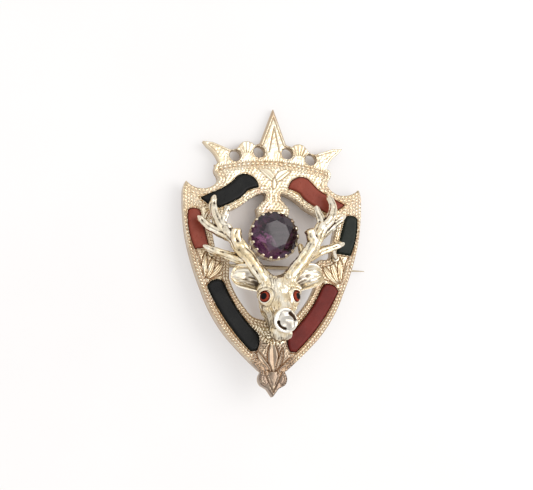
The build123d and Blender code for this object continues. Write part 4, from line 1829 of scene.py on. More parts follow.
@dataclass
class Shield:
    """The pierced plate with its back and the fittings soldered to it."""

    outlines: list[Outline]
    step: float = 0.1
    back_step: float = 0.25
    front_floor: float = -1.6
    back_thickness: float = 0.8
    hinge: Triple = HINGE_ON_PLATE
    ear_gap: float = 1.0
    ear_thickness: float = 0.45
    ear_width: float = 2.0
    base_length: float = 4.2
    base_thickness: float = 0.5
    rivet_radius: float = 0.4
    rivet_head: float = 0.62
    catch: Triple = (14.2, -1.409, -4.699)
    catch_radius: float = 0.85
    catch_wire: float = 0.35
    catch_length: float = 1.6
    catch_mouth: float = 0.9
    catch_stations: int = 60

    def build_face(self) -> bpy.types.Object:
        """The engraved front.

        Returns:
            The piece.
        """
        sheet = Sheet(self.outlines, self.step, self.front_floor, 0.22)
        relief = Engraving(sheet.flat, self.outlines).worked()
        mesh = sheet.mesh(relief)
        recess = np.zeros(len(mesh[0]))
        recess[: len(relief)] = np.clip(-(relief + 0.03) / 0.13, 0, 1)
        # Painted shade: the walls and the underside are darker.
        recess[len(relief):] = 0.4
        flat = mesh[0][:, :2]
        x, y = flat.T
        # Painted shade: darker below the chin, beside the openings under the ears and antlers, and more
        # faintly along the rim in the lower half.
        foot = smooth_step(5.2, 3.6, np.abs(x)) * smooth_step(-0.2, -0.8, y + 18.6 - 0.13 * x**2)
        side = smooth_step(8.5, 10.0, np.abs(x)) * smooth_step(0.5, -0.8, y) * smooth_step(-8.0, -6.5, y)
        patch = 0.6 + 0.4 * grain(flat, 1.2, 9)
        distance, _ = of_kind(self.outlines, Edge.RIM)[0].measure(flat)
        side = np.maximum(side, 0.9 * smooth_step(1.9, 1.0, distance) * smooth_step(5.0, -3.0, y))
        # The cuts are lighter towards the top.
        recess *= 1 - 0.3 * smooth_step(2.0, 9.0, y)
        # Painted shade, from the masks above.
        stain = foot * (0.7 + 0.3 * patch) + 0.3 * side * patch
        return make_piece("shield_face", outward(mesh), {"recess": recess, "stain": stain})

    def build_back(self) -> bpy.types.Object:
        """The plain back, from under the crown to the finial.

        Returns:
            The piece.
        """
        rim = of_kind(self.outlines, Edge.RIM)[0].points.copy()
        rim[:, 1] = np.minimum(rim[:, 1], CROWN_FOOT_Y)
        outlines = [Line(rim, True)] + of_kind(self.outlines, Edge.OPENING, Edge.POST_HOLE)
        sheet = Sheet(outlines, self.back_step, -self.back_thickness, 0.2)
        wear = 0.012 * grain(sheet.flat, 1.1, 5)
        points, faces = sheet.mesh(wear)
        points[:, 2] = SHIELD_BACK - points[:, 2]
        recess = 0.7 + 0.25 * grain(points[:, :2], 3.0, 6)
        return make_piece("shield_back", outward((points, faces)), {"recess": np.clip(recess, 0, 1)})

    def hinge_parts(self) -> list[Mesh]:
        """Two round-ended ears on a base, with the ends of the rivet.

        Returns:
            The closed meshes.
        """
        x, y, z = self.hinge
        half = self.ear_width / 2
        outer = self.ear_gap / 2 + self.ear_thickness
        low = (x - self.base_length / 2, y - outer, SHIELD_BACK - self.base_thickness)
        high = (x + self.base_length / 2, y + outer, SHIELD_BACK + 0.02)
        parts = [block(low, high, 0.12)]
        turn = np.linspace(0, math.pi, 25)
        bow = np.stack([x - half * np.cos(turn), z - half * np.sin(turn)], 1)
        shape = np.concatenate([bow, [(x + half, SHIELD_BACK - 0.1), (x - half, SHIELD_BACK - 0.1)]])
        for side in Side:
            inner = y + side.value * self.ear_gap / 2
            ends = (inner, inner + side.value * self.ear_thickness)
            parts.append(outward(self.plate_ear(shape, ends, 0.08)))
            head = [(0.3, 0.0), (self.rivet_head, 0.0), (self.rivet_head, 0.08), (0.45, 0.2), (0.0, 0.24)]
            foot = (x, ends[1] - side.value * 0.06, z)
            parts.append(outward(revolved(foot, (0, side.value, 0), head, 32)))
        rivet = [(self.rivet_radius, -outer), (self.rivet_radius, outer)]
        parts.append(outward(revolved((x, y, z), (0, 1, 0), rivet, 32)))
        return parts

    @staticmethod
    def plate_ear(shape: Array, ends: Pair, bevel: float) -> Mesh:
        """A flat piece standing across Y, with its edges broken.

        Args:
            shape: its outline in X and Z.
            ends: the Y of its two faces.
            bevel: how much of its edges is broken.

        Returns:
            The closed mesh.
        """
        middle = shape.mean(0)
        small = shape - bevel * unit(shape - middle)
        sign = np.sign(ends[1] - ends[0])
        levels = (ends[0], ends[0] + sign * bevel, ends[1] - sign * bevel, ends[1])
        rings = zip((small, shape, shape, small), levels)
        points = [np.stack([ring[:, 0], np.full(len(ring), y), ring[:, 1]], 1) for ring, y in rings]
        count = len(shape)
        faces = [grid_faces(4, count, round_columns=True), np.arange(count)[::-1][None]]
        return np.concatenate(points), faces + [(3 * count + np.arange(count))[None]]

    def catch_parts(self) -> list[Mesh]:
        """An open hook of flat wire under a small block.

        Returns:
            The closed meshes.
        """
        x, y, z = self.catch
        middle = self.catch_radius - self.catch_wire / 2
        mouth = math.asin(self.catch_mouth / 2 / self.catch_radius)
        count = self.catch_stations
        turn = np.linspace(math.pi + mouth, 3 * math.pi - mouth, count)
        path = np.stack([np.full(count, x), y + middle * np.cos(turn), z + middle * np.sin(turn)], 1)
        half = np.array([self.catch_length / 2, self.catch_wire / 2])
        bend = full_turn(24)
        square = np.stack([np.cos(bend), np.sin(bend)], 1)
        square = np.sign(square) * np.abs(square) ** 0.35 * half
        ends = np.ones(count)
        ends[[0, -1]] = 0.75
        hook = carry_profile(path, ends[:, None, None] * square[None], (1, 0, 0))
        low = (x - self.catch_length / 2, y, z + 0.55)
        high = (x + self.catch_length / 2, y + self.catch_radius, SHIELD_BACK + 0.02)
        return [outward(hook), block(low, high, 0.1)]

    def build(self) -> None:
        """Makes the plate's pieces and dresses them."""
        metal = GiltSilver("gilt_plate").material()
        parts = (("hinge", self.hinge_parts()), ("catch", self.catch_parts()))
        pieces = [self.build_face(), self.build_back()]
        for name, meshes in parts:
            mesh = join(meshes)
            recess = np.clip(0.25 + 0.4 * grain(mesh[0], 0.8, 8), 0, 1)
            pieces.append(make_piece(name, mesh, {"recess": recess}, 35))
        for piece in pieces:
            piece.data.materials.append(metal)
            place_piece(piece, ("shield",))


@dataclass
class Pin:
    """The pin with its barrel and its tapered point."""

    hinge: Triple = HINGE_ON_PLATE
    radius: float = 0.4
    root_radius: float = 0.45
    point_radius: float = 0.08
    root_end: float = -12.0
    taper_start: float = 12.2
    reach: float = 20.2
    barrel_radius: float = 0.85
    barrel_half: float = 0.45
    barrel_bevel: float = 0.06

    def build(self) -> None:
        """Makes the pin and dresses it."""
        x, y, z = self.hinge
        stations = np.concatenate([[x, self.root_end], np.linspace(self.taper_start, self.reach, 12)])
        share = np.clip((stations - self.taper_start) / (self.reach - self.taper_start), 0, 1)
        radii = self.radius + (self.point_radius - self.radius) * share
        radii[0] = self.root_radius
        stem = revolved((0, y, z), (1, 0, 0), np.stack([radii, stations], 1), 40)
        rounded = self.barrel_radius - self.barrel_bevel
        half = self.barrel_half
        edge = half - self.barrel_bevel
        rows = [(rounded, -half), (self.barrel_radius, -edge), (self.barrel_radius, edge), (rounded, half)]
        barrel = revolved((x, y, z), (0, 1, 0), rows, 48)
        piece = make_piece("pin", join([outward(stem), outward(barrel)]), None, 35)
        piece.data.materials.append(PinMetal().material())
        place_piece(piece, ("pin_stem",), PIN_BODY)


@dataclass
class Slabs:
    """The six stones let into the plate."""

    outlines: list[Outline]
    step: float = 0.16
    floor: float = -1.3
    rise: float = 0.3
    worn: float = 0.42
    stones: tuple[tuple[Stone, Stone], ...] = (
        (Stone.BLACK, Stone.RED), (Stone.RED, Stone.GREEN), (Stone.BLACK, Stone.DEEP_RED))

    def build(self) -> None:
        """Makes each stone and dresses it."""
        cells = of_kind(self.outlines, Edge.CELL)
        finishes = {stone: stone.finish().material() for stone in Stone}
        for row, pair in zip(("top", "side", "lower"), self.stones):
            for side, stone in zip(Side, pair):
                name = f"inlay_{row}_{side.word}"
                centre = node_centre(name)[:2]
                cell = min(cells, key=lambda outline: np.linalg.norm(outline.points.mean(0) - centre))
                sheet = Sheet([cell], self.step, self.floor, self.worn, 0.05)
                relief = self.rise + 0.02 * grain(sheet.flat, 2.2, 11) - 0.02
                piece = make_piece(f"stone_{row}_{side.word}", outward(sheet.mesh(relief)))
                piece.data.materials.append(finishes[stone])
                place_piece(piece, (name,))


@dataclass
class Collet:
    """The ring of claws round the purple stone."""

    centre: Triple = GEM_CENTRE
    claws: int = 18
    bore: float = 4.4
    foot_radius: float = 4.7
    shoulder: float = 5.2
    girdle: float = 4.85
    valley: float = 0.35
    peak: float = 1.36
    dark_claw: int = 2
    cone_top: float = 1.4
    lean_from: float = 0.9
    claw_lean: float = 1.36
    play: float = 0.045
    cheek: float = 0.035
    corners: int = 720

    def outer(self, height: Array) -> Array:
        """The outer radius at a height: a cone that leans in over the stone at the claws' tips."""
        rise = (self.shoulder - self.foot_radius) * (height - SHIELD_BACK) / (self.cone_top - SHIELD_BACK)
        return self.foot_radius + rise - np.clip(height - self.lean_from, 0, None)

    def inner(self, height: Array) -> Array:
        """The inner radius at a height: the bore, the seat and the claws' inner sides.

        Args:
            height: the heights.

        Returns:
            The radii.
        """
        pavilion = self.girdle * (height + 2.4) / 3.2 + 0.06
        seat = self.girdle + self.play
        crown = seat - self.claw_lean * np.clip(height - 1.0, 0, None)
        return np.where(height < 0.8, np.clip(pavilion, self.bore, seat), crown)

    def build(self) -> None:
        """Makes the ring: a profile carried round, whose top follows the claws."""
        count = self.corners
        turn = full_turn(count)
        phase = turn * self.claws / (2 * math.pi)
        wave = 1 - np.abs(2 * (phase - np.floor(phase)) - 1)
        wave = smooth_step(0.12, 0.82, wave)
        number = np.floor(phase).astype(int)
        uneven = 0.06 * grain(np.stack([number * 1.0, 0 * turn], 1), 1.0, 21)
        top = self.valley + (self.peak - self.valley - 0.05 + uneven) * wave
        share = np.linspace(0, 1, 13)
        heights = SHIELD_BACK + share[:, None] * (top - SHIELD_BACK)[None]
        cheek = -self.cheek * np.cos(2 * math.pi * phase)
        outer = self.outer(heights) + np.where(heights > 0, cheek, 0) * smooth_step(0.0, 0.5, heights)
        inner = self.inner(heights)
        outer[-1] -= 0.10
        inner[-1] += 0.06
        radii = np.concatenate([outer, inner[::-1]])
        levels = np.concatenate([heights, heights[::-1]])
        levels[12:14] += 0.03
        x = self.centre[0] + radii * np.sin(turn)
        y = self.centre[1] + radii * np.cos(turn)
        points = np.stack([x, y, levels], 2).reshape(-1, 3)
        faces = [grid_faces(len(radii), count, True, True)]
        # Painted shade low on the ring and in the notches between the claws.
        depth = smooth_step(0.75, 0.1, levels) * smooth_step(0.9, 0.2, np.broadcast_to(wave, levels.shape))
        # One claw is made darker above the ring's foot.
        worn = (number == self.dark_claw) * smooth_step(0.2, 0.7, levels)
        depth = np.maximum(depth, 0.85 * worn)
        piece = make_piece("collet", outward((points, faces)), {"recess": depth.ravel()}, 60)
        piece.data.materials.append(GiltSilver("collet_silver", gilding=0.2, polish=0.2).material())
        place_piece(piece, ("shield",))


@dataclass
class Amethyst:
    """The round stone with an eight-sided table."""

    centre: Pair = GEM_CENTRE[:2]
    table: Pair = (2.75, 2.5)
    star: float = 3.9
    girdle: float = 4.85
    girdle_band: Pair = (0.8, 1.0)
    culet: float = -2.4
    pavilion: float = 2.2

    def ring(self, radius: float, height: float, count: int, shift: float = 0.0) -> Array:
        """Corners evenly spread on a circle."""
        turn = (np.arange(count) + shift) / count * 2 * math.pi
        return np.stack([radius * np.sin(turn), radius * np.cos(turn), np.full(count, height)], 1)

    def build(self) -> None:
        """Makes the stone as the hull of its corners, with every facet flat."""
        half = math.cos(math.pi / 8)
        fall = (self.table[1] - self.girdle_band[1]) / (self.girdle - self.table[0])
        star_height = self.table[1] - (self.star * half - self.table[0]) * fall
        rise = (self.girdle_band[0] - self.culet) / self.girdle
        rings = [
            self.ring(self.table[0], self.table[1], 8),
            self.ring(self.star, star_height, 8, 0.5),
            self.ring(self.girdle, self.girdle_band[1], 16),
            self.ring(self.girdle, self.girdle_band[0], 16),
            self.ring(self.pavilion, self.culet + self.pavilion * half * rise, 8, 0.5),
            np.array([[0, 0, self.culet]]),
        ]
        points = np.concatenate(rings) + np.array([*self.centre, 0])
        work = bmesh.new()
        for point in PLATE.to_frame(points) / MM:
            work.verts.new(point)
        bmesh.ops.convex_hull(work, input=work.verts)
        bmesh.ops.dissolve_limit(work, angle_limit=math.radians(1.0), verts=work.verts, edges=work.edges)
        bmesh.ops.scale(work, vec=(MM, MM, MM), verts=work.verts)
        data = bpy.data.meshes.new("amethyst")
        work.to_mesh(data)
        work.free()
        piece = put_in_scene("purple_stone", data)
        piece.data.materials.append(PurpleStone().material())
        place_piece(piece, ("amethyst",))


@dataclass(frozen=True)
class Lobe:
    """One soft form of the head: an ellipsoid, or a tapered rod between two places.

    Args:
        start: its middle, or the rod's start.
        size: its three half widths, or the rod's two end radii.
        end: the rod's end.
    """

    start: Triple
    size: tuple[float, ...]
    end: Triple | None = None

    def distance(self, points: Array) -> Array:
        """How far outside the form a point lies; less than 0 inside.

        Args:
            points: the places.

        Returns:
            The distances.
        """
        rest = points - np.array(self.start)
        if self.end is None:
            size = np.array(self.size)
            near = np.linalg.norm(rest / size, axis=1)
            slope = np.linalg.norm(rest / size**2, axis=1)
            return near * (near - 1) / np.maximum(slope, 1e-6)
        way = np.array(self.end) - np.array(self.start)
        share = np.clip(rest @ way / (way @ way), 0, 1)
        radius = self.size[0] + (self.size[1] - self.size[0]) * share
        return np.linalg.norm(rest - share[:, None] * way, axis=1) - radius


def melted(lobes: list[Lobe], points: Array, soft: float) -> Array:
    """The distance from lobes melted together: -soft · log(sum of exp(-distance / soft))."""
    total = sum(np.exp(-np.clip(lobe.distance(points), -4, 20) / soft) for lobe in lobes)
    return -soft * np.log(total + 1e-12)


@dataclass
class Head:
    """The stag's head without its ears and antlers."""

    middle: Triple = (0.0, -12.0, 3.6)
    floor: float = 0.06
    soft: float = 0.28
    grid: int = 126
    lobes: tuple[Lobe, ...] = (
        Lobe((0, -9.0, 3.2), (4.15, 3.2, 3.1)),
        Lobe((0, -10.8, 0.8), (3.3, 4.6, 2.1)),
        Lobe((0, -8.2, 4.8), (2.2, 2.0, 1.8)),
        Lobe((-3.1, -8.9, 4.7), (1.35, 1.2, 1.1)),
        Lobe((3.1, -8.9, 4.7), (1.35, 1.2, 1.1)),
        Lobe((0, -10.2, 4.9), (2.3, 1.8), (0, -15.0, 7.2)),
        Lobe((0.2, -15.45, 7.65), (2.42, 2.28, 1.1)),
        Lobe((0, -12, 2.8), (2.5, 2.1), (-0.2, -16.9, 4.7)),
        Lobe((-2.2, -11.5, 4.2), (1.5, 1.9, 1.7)),
        Lobe((2.2, -11.5, 4.2), (1.5, 1.9, 1.7)),
        Lobe((-0.1, -17.3, 5.4), (2.1, 1.6, 1.5)),
        Lobe((-1.5, -8.0, 4.3), (1.7, 1.25), (-4.5, -4.0, 4.3)),
        Lobe((1.3, -8.0, 4.3), (1.7, 1.25), (4.1, -4.0, 4.3)),
        Lobe((0, -15.5, 0.6), (1.5, 1.7, 1.5)),
    )

    def surface(self) -> tuple[Array, Array]:
        """Points where rays from the middle leave the melted forms, and the faces between them.

        Returns:
            The points and the faces.
        """
        ways, faces = ball_grid(self.grid)
        middle = np.array(self.middle)
        reach = np.full(len(ways), 11.0)
        for _ in range(36):
            points = middle + reach[:, None] * ways
            gap = melted(list(self.lobes), points, self.soft)
            gap = np.maximum(gap, self.floor - points[:, 2])
            reach -= 0.8 * gap
        return middle + reach[:, None] * ways, faces[0]

    def chased(self, points: Array) -> tuple[Array, Array]:
        """The tooled detail: how far each point moves out, and how dark it is made.

        Formula: strokes of noise stretched along the hair, with grooves for the nostrils, mouth and
        brows and raised rings for the eyelids.

        Args:
            points: the surface's points.

        Returns:
            The moves, and darkness from 0: patina in the cuts, patches, painted shade under the jaw and the
                nose, and a painted reflection on the nose's middle.
        """
        x, y, z = points.T
        turn = np.arctan2(x, z - 2.0)
        along = np.stack([turn * 4.2, y], 1)
        wave = 0.5 * grain(along, 2.0, 30)[:, None]
        hair = np.abs(grain((along + wave) / (0.42, 1.5), 1.0, 31))
        fine = np.abs(grain((along + wave) / (0.24, 0.8), 1.0, 32))
        nose = smooth_step(2.9, 2.2, np.hypot(x, y + 15.6)) * smooth_step(7.0, 7.6, z)
        fur = (0.19 * hair + 0.09 * fine - 0.11 + 0.13 * grain(points, 0.9, 33)) * (1 - nose)
        patches = smooth_step(-0.4, 0.4, grain(points, 1.6, 34))
        dark = 0.55 * smooth_step(0.18, 0.0, hair) * patches * (1 - nose)
        dark += 0.34 * smooth_step(0.0, 0.6, grain(points, 0.9, 35)) * (1 - nose)
        # Painted shade under the jaw and under the nose.
        dark += 0.45 * smooth_step(5.6, 4.2, z) * smooth_step(-12.0, -14.0, y)
        dark += 0.42 * smooth_step(7.1, 6.3, z) * smooth_step(-15.9, -16.9, y)
        lids = np.zeros(len(x))
        for side in Side:
            eye = rolled(node_centre(f"eye_{side.word}"), -CAST_ROLL)
            gap = np.linalg.norm(points - eye, axis=1)
            lids += 0.20 * ridge(gap - 1.5, 0.16) - 0.14 * ridge(gap - 2.0, 0.16)
            lids -= 0.45 * smooth_step(1.42, 1.12, gap)
            fur *= smooth_step(1.2, 2.1, gap)
            dark = np.maximum(dark * smooth_step(1.5, 1.9, gap), ridge(gap - 2.0, 0.14) * 0.6)
        cuts = np.zeros(len(x))
        mouth = (
            (-2.3, -14.6, 6.4), (-1.9, -16.6, 6.5), (0, -17.9, 6.7), (1.9, -16.6, 6.5), (2.3, -14.6, 6.4)
        )
        brow = ((1.3, -7.4, 5.9), (1.5, -9.2, 6.6), (1.2, -11.2, 6.9), (1.0, -12.6, 7.4))
        lines = ((mouth, 0.16, 0.8), (brow, 0.12, 0.3), (tuple((-a, b, c) for a, b, c in brow), 0.12, 0.3))
        for line, depth, shade in lines:
            gap, _, _ = nearest(points, np.array(line[:-1]), np.array(line[1:]))
            cuts -= depth * ridge(gap, 0.2)
            dark = np.maximum(dark, shade * ridge(gap, 0.2))
        face = smooth_step(7.0, 7.6, z)
        for start, end, radius, width in ((55, 5, 1.92, 0.30), (190, 262, 1.78, 0.22)):
            turns = np.radians(np.linspace(start, end, 12))
            arc = radius * np.stack([np.cos(turns), np.sin(turns)], 1) + (0.2, -15.4)
            gap, _ = Line(arc).measure(points[:, :2])
            cuts -= 0.5 * face * ridge(gap, width)
            dark = np.maximum(dark, 2.2 * face * ridge(gap, width + 0.04))
        away = np.hypot(x - 0.2, y + 15.4)
        cuts += face * (0.16 * ridge(away - 2.2, 0.22) - 0.34 * smooth_step(2.1, 0.5, away))
        facets = grain(points[:, :2], 1.3, 37)
        inner = face * smooth_step(2.15, 1.75, away)
        cuts += 0.42 * facets * inner
        # Painted reflection: grey patches in the middle of the nose.
        dark = np.maximum(dark, (0.45 + 0.45 * smooth_step(-0.3, 0.5, facets)) * inner)
        return fur + lids + cuts, dark

    def build(self) -> bpy.types.Object:
        """Makes the head.

        Returns:
            The piece.
        """
        points, faces = self.surface()
        normals = skin_normals(points, faces)
        moved, recess = self.chased(points)
        points = points + moved[:, None] * normals
        points[:, 2] = np.maximum(points[:, 2], self.floor)
        hollow = hollowness(points, faces, skin_normals(points, faces))
        recess = np.clip(0.75 * recess + 0.13 * np.clip(hollow, 0, 3) - 0.12 * np.clip(-hollow, 0, 3), 0, 1)
        x, y, z = points.T
        # Painted highlight: the flat of the nose is made whiter.
        nose = smooth_step(2.9, 2.2, np.hypot(x, y + 15.6)) * smooth_step(7.4, 8.0, z)
        values = {"recess": recess, "bright": np.maximum(nose, 0.1)}
        return make_piece("head", outward((rolled(points), [faces])), values, 180)


@dataclass
class Ear:
    """A leaf-shaped ear with a hollow front and curled rims.

    Args:
        side: which ear.
        root: where it leaves the head.
        middle: the middle of its back.
        tip: its end.
        widths: its half width from root to tip.
        thickness: how thick its wall is.
        curl: how far its rims stand out of its middle.
    """

    side: Side
    root: Triple = (2.9, -7.5, 3.9)
    middle: Triple = (6.1, -6.2, 3.7)
    tip: Triple = (9.3, -5.7, 3.2)
    widths: tuple[float, ...] = (1.9, 2.2, 2.45, 2.5, 2.4, 2.1, 1.6)
    thickness: float = 0.5
    curl: float = 1.35

    def width_along(self, share: Array) -> Array:
        """The half width from root to tip, closing as a quarter round at the tip.

        Args:
            share: from 0 at the root to 1 at the tip.

        Returns:
            The half widths.
        """
        knots = np.linspace(0, 1, len(self.widths))
        width = np.interp(share, knots, self.widths)
        width = np.convolve(np.pad(width, 6, "edge"), np.ones(13) / 13, "valid")
        close = np.clip((share - 0.76) / 0.24, 0, 1)
        return np.maximum(width * np.sqrt(np.clip(1 - close**2, 0, 1)), 0.03)

    def build(self) -> bpy.types.Object:
        """Makes the ear: a hollow crescent carried from root to tip, with hair lines and painted shade in
        the hollow.

        Returns:
            The piece.
        """
        samples, around = 130, 110
        path = smooth_path([self.root, self.middle, self.tip], samples) * (self.side.value, 1, 1)
        share = np.linspace(0, 1, samples)
        width = self.width_along(share)
        turn = full_turn(around)
        side = np.cos(turn)
        full = np.minimum(1, width / 1.1)[:, None]
        front = np.clip(np.sin(turn), 0, 1)
        thick = self.thickness * full * np.sign(np.sin(turn)) * np.abs(np.sin(turn)) ** 0.6 / 2
        hollow = self.curl * full * (np.abs(side) ** 2.2 - 0.45) * (1 + 0.25 * side)
        roll = 0.22 * full * ridge(np.abs(side)[None] - 0.86, 0.16) * (front > 0)
        sides, shares = (part.ravel() for part in np.broadcast_arrays(side[None], share[:, None]))
        places = np.stack([sides * 2.8 + 0.6 * shares, shares * 2.4], 1)
        strokes = grain(places, 0.32, 5).reshape(samples, around)
        hair = 0.16 * strokes * front * full * (1 - side**2)
        rise = thick + hollow + roll + hair
        across = width[:, None] * side
        profiles = np.stack([rise, np.broadcast_to(across, rise.shape)], 2)
        mesh = outward(carry_profile(path, profiles, (0, 0, 1)))
        # Painted shade in the ear's hollow, deeper towards the root.
        shade = 0.95 * front * (1 - side**2) * (1.1 - share[:, None]) * smooth_step(0.0, 0.25, front)
        depth = np.clip(shade - 3.5 * hair, 0, 0.9) * full
        recess = np.concatenate([depth.ravel(), [0.3, 0.0]])
        values = {"recess": recess, "bright": np.full(len(recess), 0.55)}
        return make_piece(f"ear_{self.side.word}", (rolled(mesh[0]), mesh[1]), values, 180)


@dataclass(frozen=True)
class Tine:
    """One branch of an antler.

    Args:
        knots: places along it, each x outwards, y and z.
        thick: its diameter at its start and at its tip.
        blunt: its tip is rounded off instead of pointed.
    """

    knots: tuple[Triple, ...]
    thick: Pair
    blunt: bool = False

    def mesh(self, side: Side, phase: float) -> Mesh:
        """The branch: a fluted round carried along its knots.

        Args:
            side: which antler.
            phase: where its flutes start.

        Returns:
            The closed mesh.
        """
        samples, around = 90, 40
        path = smooth_path(self.knots, samples) * (side.value, 1, 1)
        share = np.linspace(0, 1, samples)
        radius = (self.thick[0] + (self.thick[1] - self.thick[0]) * share) / 2
        end = 0.10 if self.blunt else 0.16
        radius = radius * np.sqrt(np.clip(1 - np.clip((share - 1 + end) / end, 0, 0.995) ** 2, 0, 1))
        radius[0] *= 0.6
        turn = full_turn(around)
        wander = grain(np.stack([share * 3, np.full(samples, phase)], 1), 1.0, 41)
        bend = 2.5 * turn[None] + 1.1 * wander[:, None] + phase
        flute = 0.22 * (np.abs(np.cos(bend)) - 0.6) * np.minimum(1, radius / 1.0)[:, None]
        knots = 1 + 0.06 * grain(np.stack([share * 9, np.full(samples, phase + 3)], 1), 1.0, 42)
        size = radius * knots
        profiles = (size[:, None] + flute)[..., None] * np.stack([np.cos(turn), np.sin(turn)], 1)
        return outward(carry_profile(path, profiles))


@dataclass
class Antler:
    """One antler with its tines and the foot under it."""

    side: Side
    tines: tuple[Tine, ...]
    foot: Pair = (12.7, -1.28)
    foot_radius: float = 0.75
    post_radius: float = 0.55
    voxel: float = 0.085

    def foot_parts(self) -> list[Mesh]:
        """The post that passes through the plate, its foot and the slanted bar up to the low tine.

        Returns:
            The closed meshes.
        """
        x, y = self.side.value * self.foot[0], self.foot[1]
        centre = rolled(np.array([x, y, 0.0]), -CAST_ROLL)
        low = min(self.tines[4].knots, key=lambda knot: abs(knot[0] - self.foot[0]))
        top = np.array(low) * (self.side.value, 1, 1)
        rows = [(0.5, SHIELD_BACK), (self.post_radius, SHIELD_BACK + 0.05), (self.post_radius, 0.06)]
        rows += [(self.foot_radius, 0.07), (self.foot_radius, 0.75), (0.6, 0.95)]
        post = revolved((centre[0], centre[1], 0), (0, 0, 1), rows, 32)
        path = np.linspace([centre[0], centre[1], 0.6], top, 20)
        bar = carry_profile(path, round_profile(np.linspace(0.5, 0.42, 20)), (1, 0, 0))
        return [outward(post), outward(bar)]

    def build(self) -> bpy.types.Object:
        """Makes the antler.

        Returns:
            The piece.
        """
        parts = [tine.mesh(self.side, 1.7 * number) for number, tine in enumerate(self.tines)]
        points, faces, normals = fuse(parts + self.foot_parts(), self.voxel)
        rough = 0.03 * grain(points, 0.38, 51) + 0.14 * grain(points, 0.9, 52)
        high = smooth_step(1.0, 1.5, points[:, 2])
        points = points + (rough * high)[:, None] * normals
        hollow = hollowness(points, faces, normals, 6)
        brown = 0.30 * smooth_step(0.0, 0.6, grain(points, 0.8, 53))
        recess = 0.05 + brown + 0.55 * np.clip(hollow, 0, 3) - 0.22 * np.clip(-hollow, 0, 3)
        # Painted shade: darker low down, near the plate.
        recess = np.clip(recess + smooth_step(2.2, 0.8, points[:, 2]) * 0.5, 0, 1)
        away = np.linalg.norm(points[:, :2] - (0.0, -6.0), axis=1)
        values = {"recess": recess, "bright": 0.45 * high * smooth_step(9.0, 16.0, away)}
        return make_piece(f"antler_{self.side.word}", (rolled(points), [faces]), values, 180)


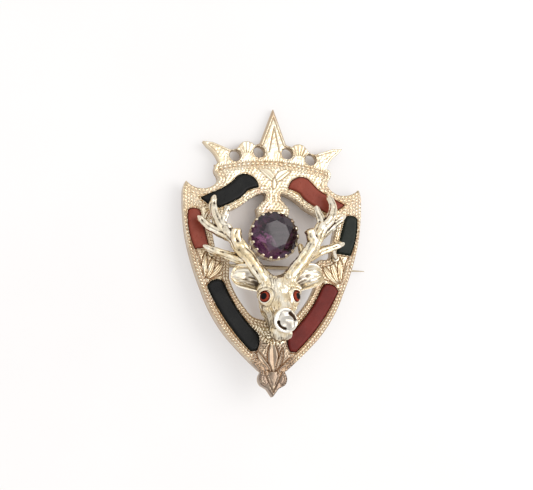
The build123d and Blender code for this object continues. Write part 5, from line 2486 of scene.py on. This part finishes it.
@dataclass
class Stag:
    """The cast head with its ears, antlers and glass eyes."""

    head: Head = field(default_factory=Head)
    eye_radius: float = 1.15
    eye_direction: Triple = (0.64, 0.08, 0.76)
    rim_radius: float = 1.24
    rim_wire: float = 0.2
    rim_rise: float = 0.30
    post: Pair = (0.0, -16.0)

    @staticmethod
    def antlers() -> list[Antler]:
        """Both antlers, tine by tine as they were cast.

        Returns:
            The left antler and the right.
        """
        forms = (
            ((4.3, 4.5, 4.6, 4.6, 4.4, 4.2, 3.8, 3.4, 3.2), (2.7, 2.6), False),
            ((3.4, 3.0, 2.4, 2.0, 1.6), (2.5, 1.0), False),
            ((3.4, 3.2, 3.0, 2.8), (2.1, 1.0), False),
            ((3.6, 3.0, 2.6, 2.2, 1.8), (2.3, 1.1), False),
            ((4.2, 3.6, 3.0, 2.4, 1.8), (2.3, 1.1), False),
            ((4.3, 4.4, 4.7, 5.0), (2.6, 2.0), True),
            ((4.2, 4.0, 3.6, 3.2), (1.8, 0.8), False),
        )
        left = (
            ((3.0, -6.9), (3.27, -6.26), (4.61, -4.27), (5.73, -2.47), (6.82, -1.02), (7.7, 0.62),
             (8.76, 2.11), (9.81, 3.6), (10.3, 4.2)),
            ((9.4, 3.0), (11.08, 4.89), (11.85, 7.64), (11.8, 9.35), (11.44, 10.96)),
            ((9.9, 3.4), (10.42, 4.85), (9.58, 6.91), (8.79, 8.67)),
            ((8.6, 2.0), (10.57, 2.88), (12.45, 3.97), (13.92, 5.26), (15.1, 6.66)),
            ((5.6, -2.6), (7.13, -2.67), (9.56, -1.54), (12.2, -0.51), (14.44, 0.72)),
            ((7.3, -0.4), (7.95, 0.58), (8.2, 2.0), (8.14, 3.56)),
            ((6.3, -2.2), (5.97, -1.95), (5.4, -0.6), (5.22, 0.4)),
        )
        right = (
            ((2.3, -6.8), (2.6, -6.11), (4.32, -3.94), (5.85, -2.14), (7.0, -0.7), (7.96, 0.75),
             (8.77, 2.25), (9.79, 3.96), (10.3, 4.5)),
            ((9.4, 3.2), (11.65, 5.47), (12.58, 7.86), (12.37, 9.59), (11.72, 10.92)),
            ((9.6, 3.7), (9.72, 5.43), (9.25, 7.11), (8.87, 8.59)),
            ((8.3, 1.9), (9.82, 2.61), (11.67, 3.91), (13.52, 5.12), (15.29, 6.65)),
            ((5.4, -2.6), (6.72, -2.16), (9.21, -0.95), (12.12, -0.03), (14.85, 0.99)),
            ((7.4, -0.2), (7.49, 0.71), (7.2, 2.0), (6.66, 3.23)),
            ((6.3, -2.0), (5.42, -1.62), (5.2, -0.4), (5.09, 0.66)),
        )
        antlers = []
        for side, lines in zip(Side, (left, right)):
            tines = []
            for line, (heights, thick, blunt) in zip(lines, forms):
                knots = tuple((*place, height) for place, height in zip(line, heights))
                tines.append(Tine(knots, thick, blunt))
            antlers.append(Antler(side, tuple(tines)))
        return antlers

    def gaze(self, side: Side) -> Array:
        """The direction in which an eye looks."""
        return unit(np.array(self.eye_direction) * (side.value, 1, 1))

    def eye_rim(self, side: Side) -> Mesh:
        """The raised rim round an eye: a small round carried about the eye's gaze.

        Args:
            side: which eye.

        Returns:
            The closed mesh.
        """
        gaze = self.gaze(side)
        across = unit(np.cross(gaze, (0, 1, 0)))
        up = np.cross(gaze, across)
        turn = full_turn(72)[:, None, None]
        bend = full_turn(16)[None, :, None]
        spoke = np.cos(turn) * across + np.sin(turn) * up
        rim = self.rim_radius + self.rim_wire * np.cos(bend)
        rise = self.rim_rise + self.rim_wire * np.sin(bend)
        points = node_centre(f"eye_{side.word}") + rim * spoke + rise * gaze
        return outward((points.reshape(-1, 3), [grid_faces(72, 16, True, True)]))

    def chin_post(self) -> Mesh:
        """The third post, under the chin."""
        rows = [(0.5, SHIELD_BACK), (0.55, SHIELD_BACK + 0.05), (0.55, 0.3)]
        return outward(revolved((*self.post, 0), (0, 0, 1), rows, 32))

    def build_eye(self, side: Side, glass: bpy.types.Material) -> None:
        """Makes an eye: a ball whose points know how far they lie from the middle of its gaze.

        Args:
            side: which eye.
            glass: its finish.
        """
        ways, faces = ball_grid(28)
        centre = node_centre(f"eye_{side.word}")
        gaze = self.gaze(side)
        away = np.arccos(np.clip(ways @ gaze, -1, 1))
        ball = (centre + self.eye_radius * ways, faces)
        piece = make_piece(f"glass_eye_{side.word}", ball, {"away": away}, 180)
        piece.data.materials.append(glass)
        place_piece(piece, (f"eye_{side.word}",))

    def build(self) -> None:
        """Makes the casting's pieces and dresses them."""
        silver = CastSilver().material()
        pieces = [self.head.build()]
        pieces += [Ear(side).build() for side in Side]
        pieces += [antler.build() for antler in self.antlers()]
        plain = {"chin_post": self.chin_post()}
        plain.update({f"eye_rim_{side.word}": self.eye_rim(side) for side in Side})
        for name, mesh in plain.items():
            flat = np.zeros(len(mesh[0]))
            pieces.append(make_piece(name, mesh, {"recess": flat, "bright": flat + 0.5}))
        for piece in pieces:
            piece.data.materials.append(silver)
            place_piece(piece, ("stag_head",))
        glass = EyeGlass().material()
        for side in Side:
            self.build_eye(side, glass)


def main() -> None:
    """Dresses the frame and sets the studio up."""
    logging.basicConfig(level=logging.INFO, format="%(message)s")
    outlines = read_outlines()
    Shield(outlines).build()
    Pin().build()
    Slabs(outlines).build()
    Collet().build()
    Amethyst().build()
    Stag().build()
    studio = Studio()
    studio.lay_floor()
    studio.light()
    studio.place_camera()


if __name__ == "__main__":
    main()
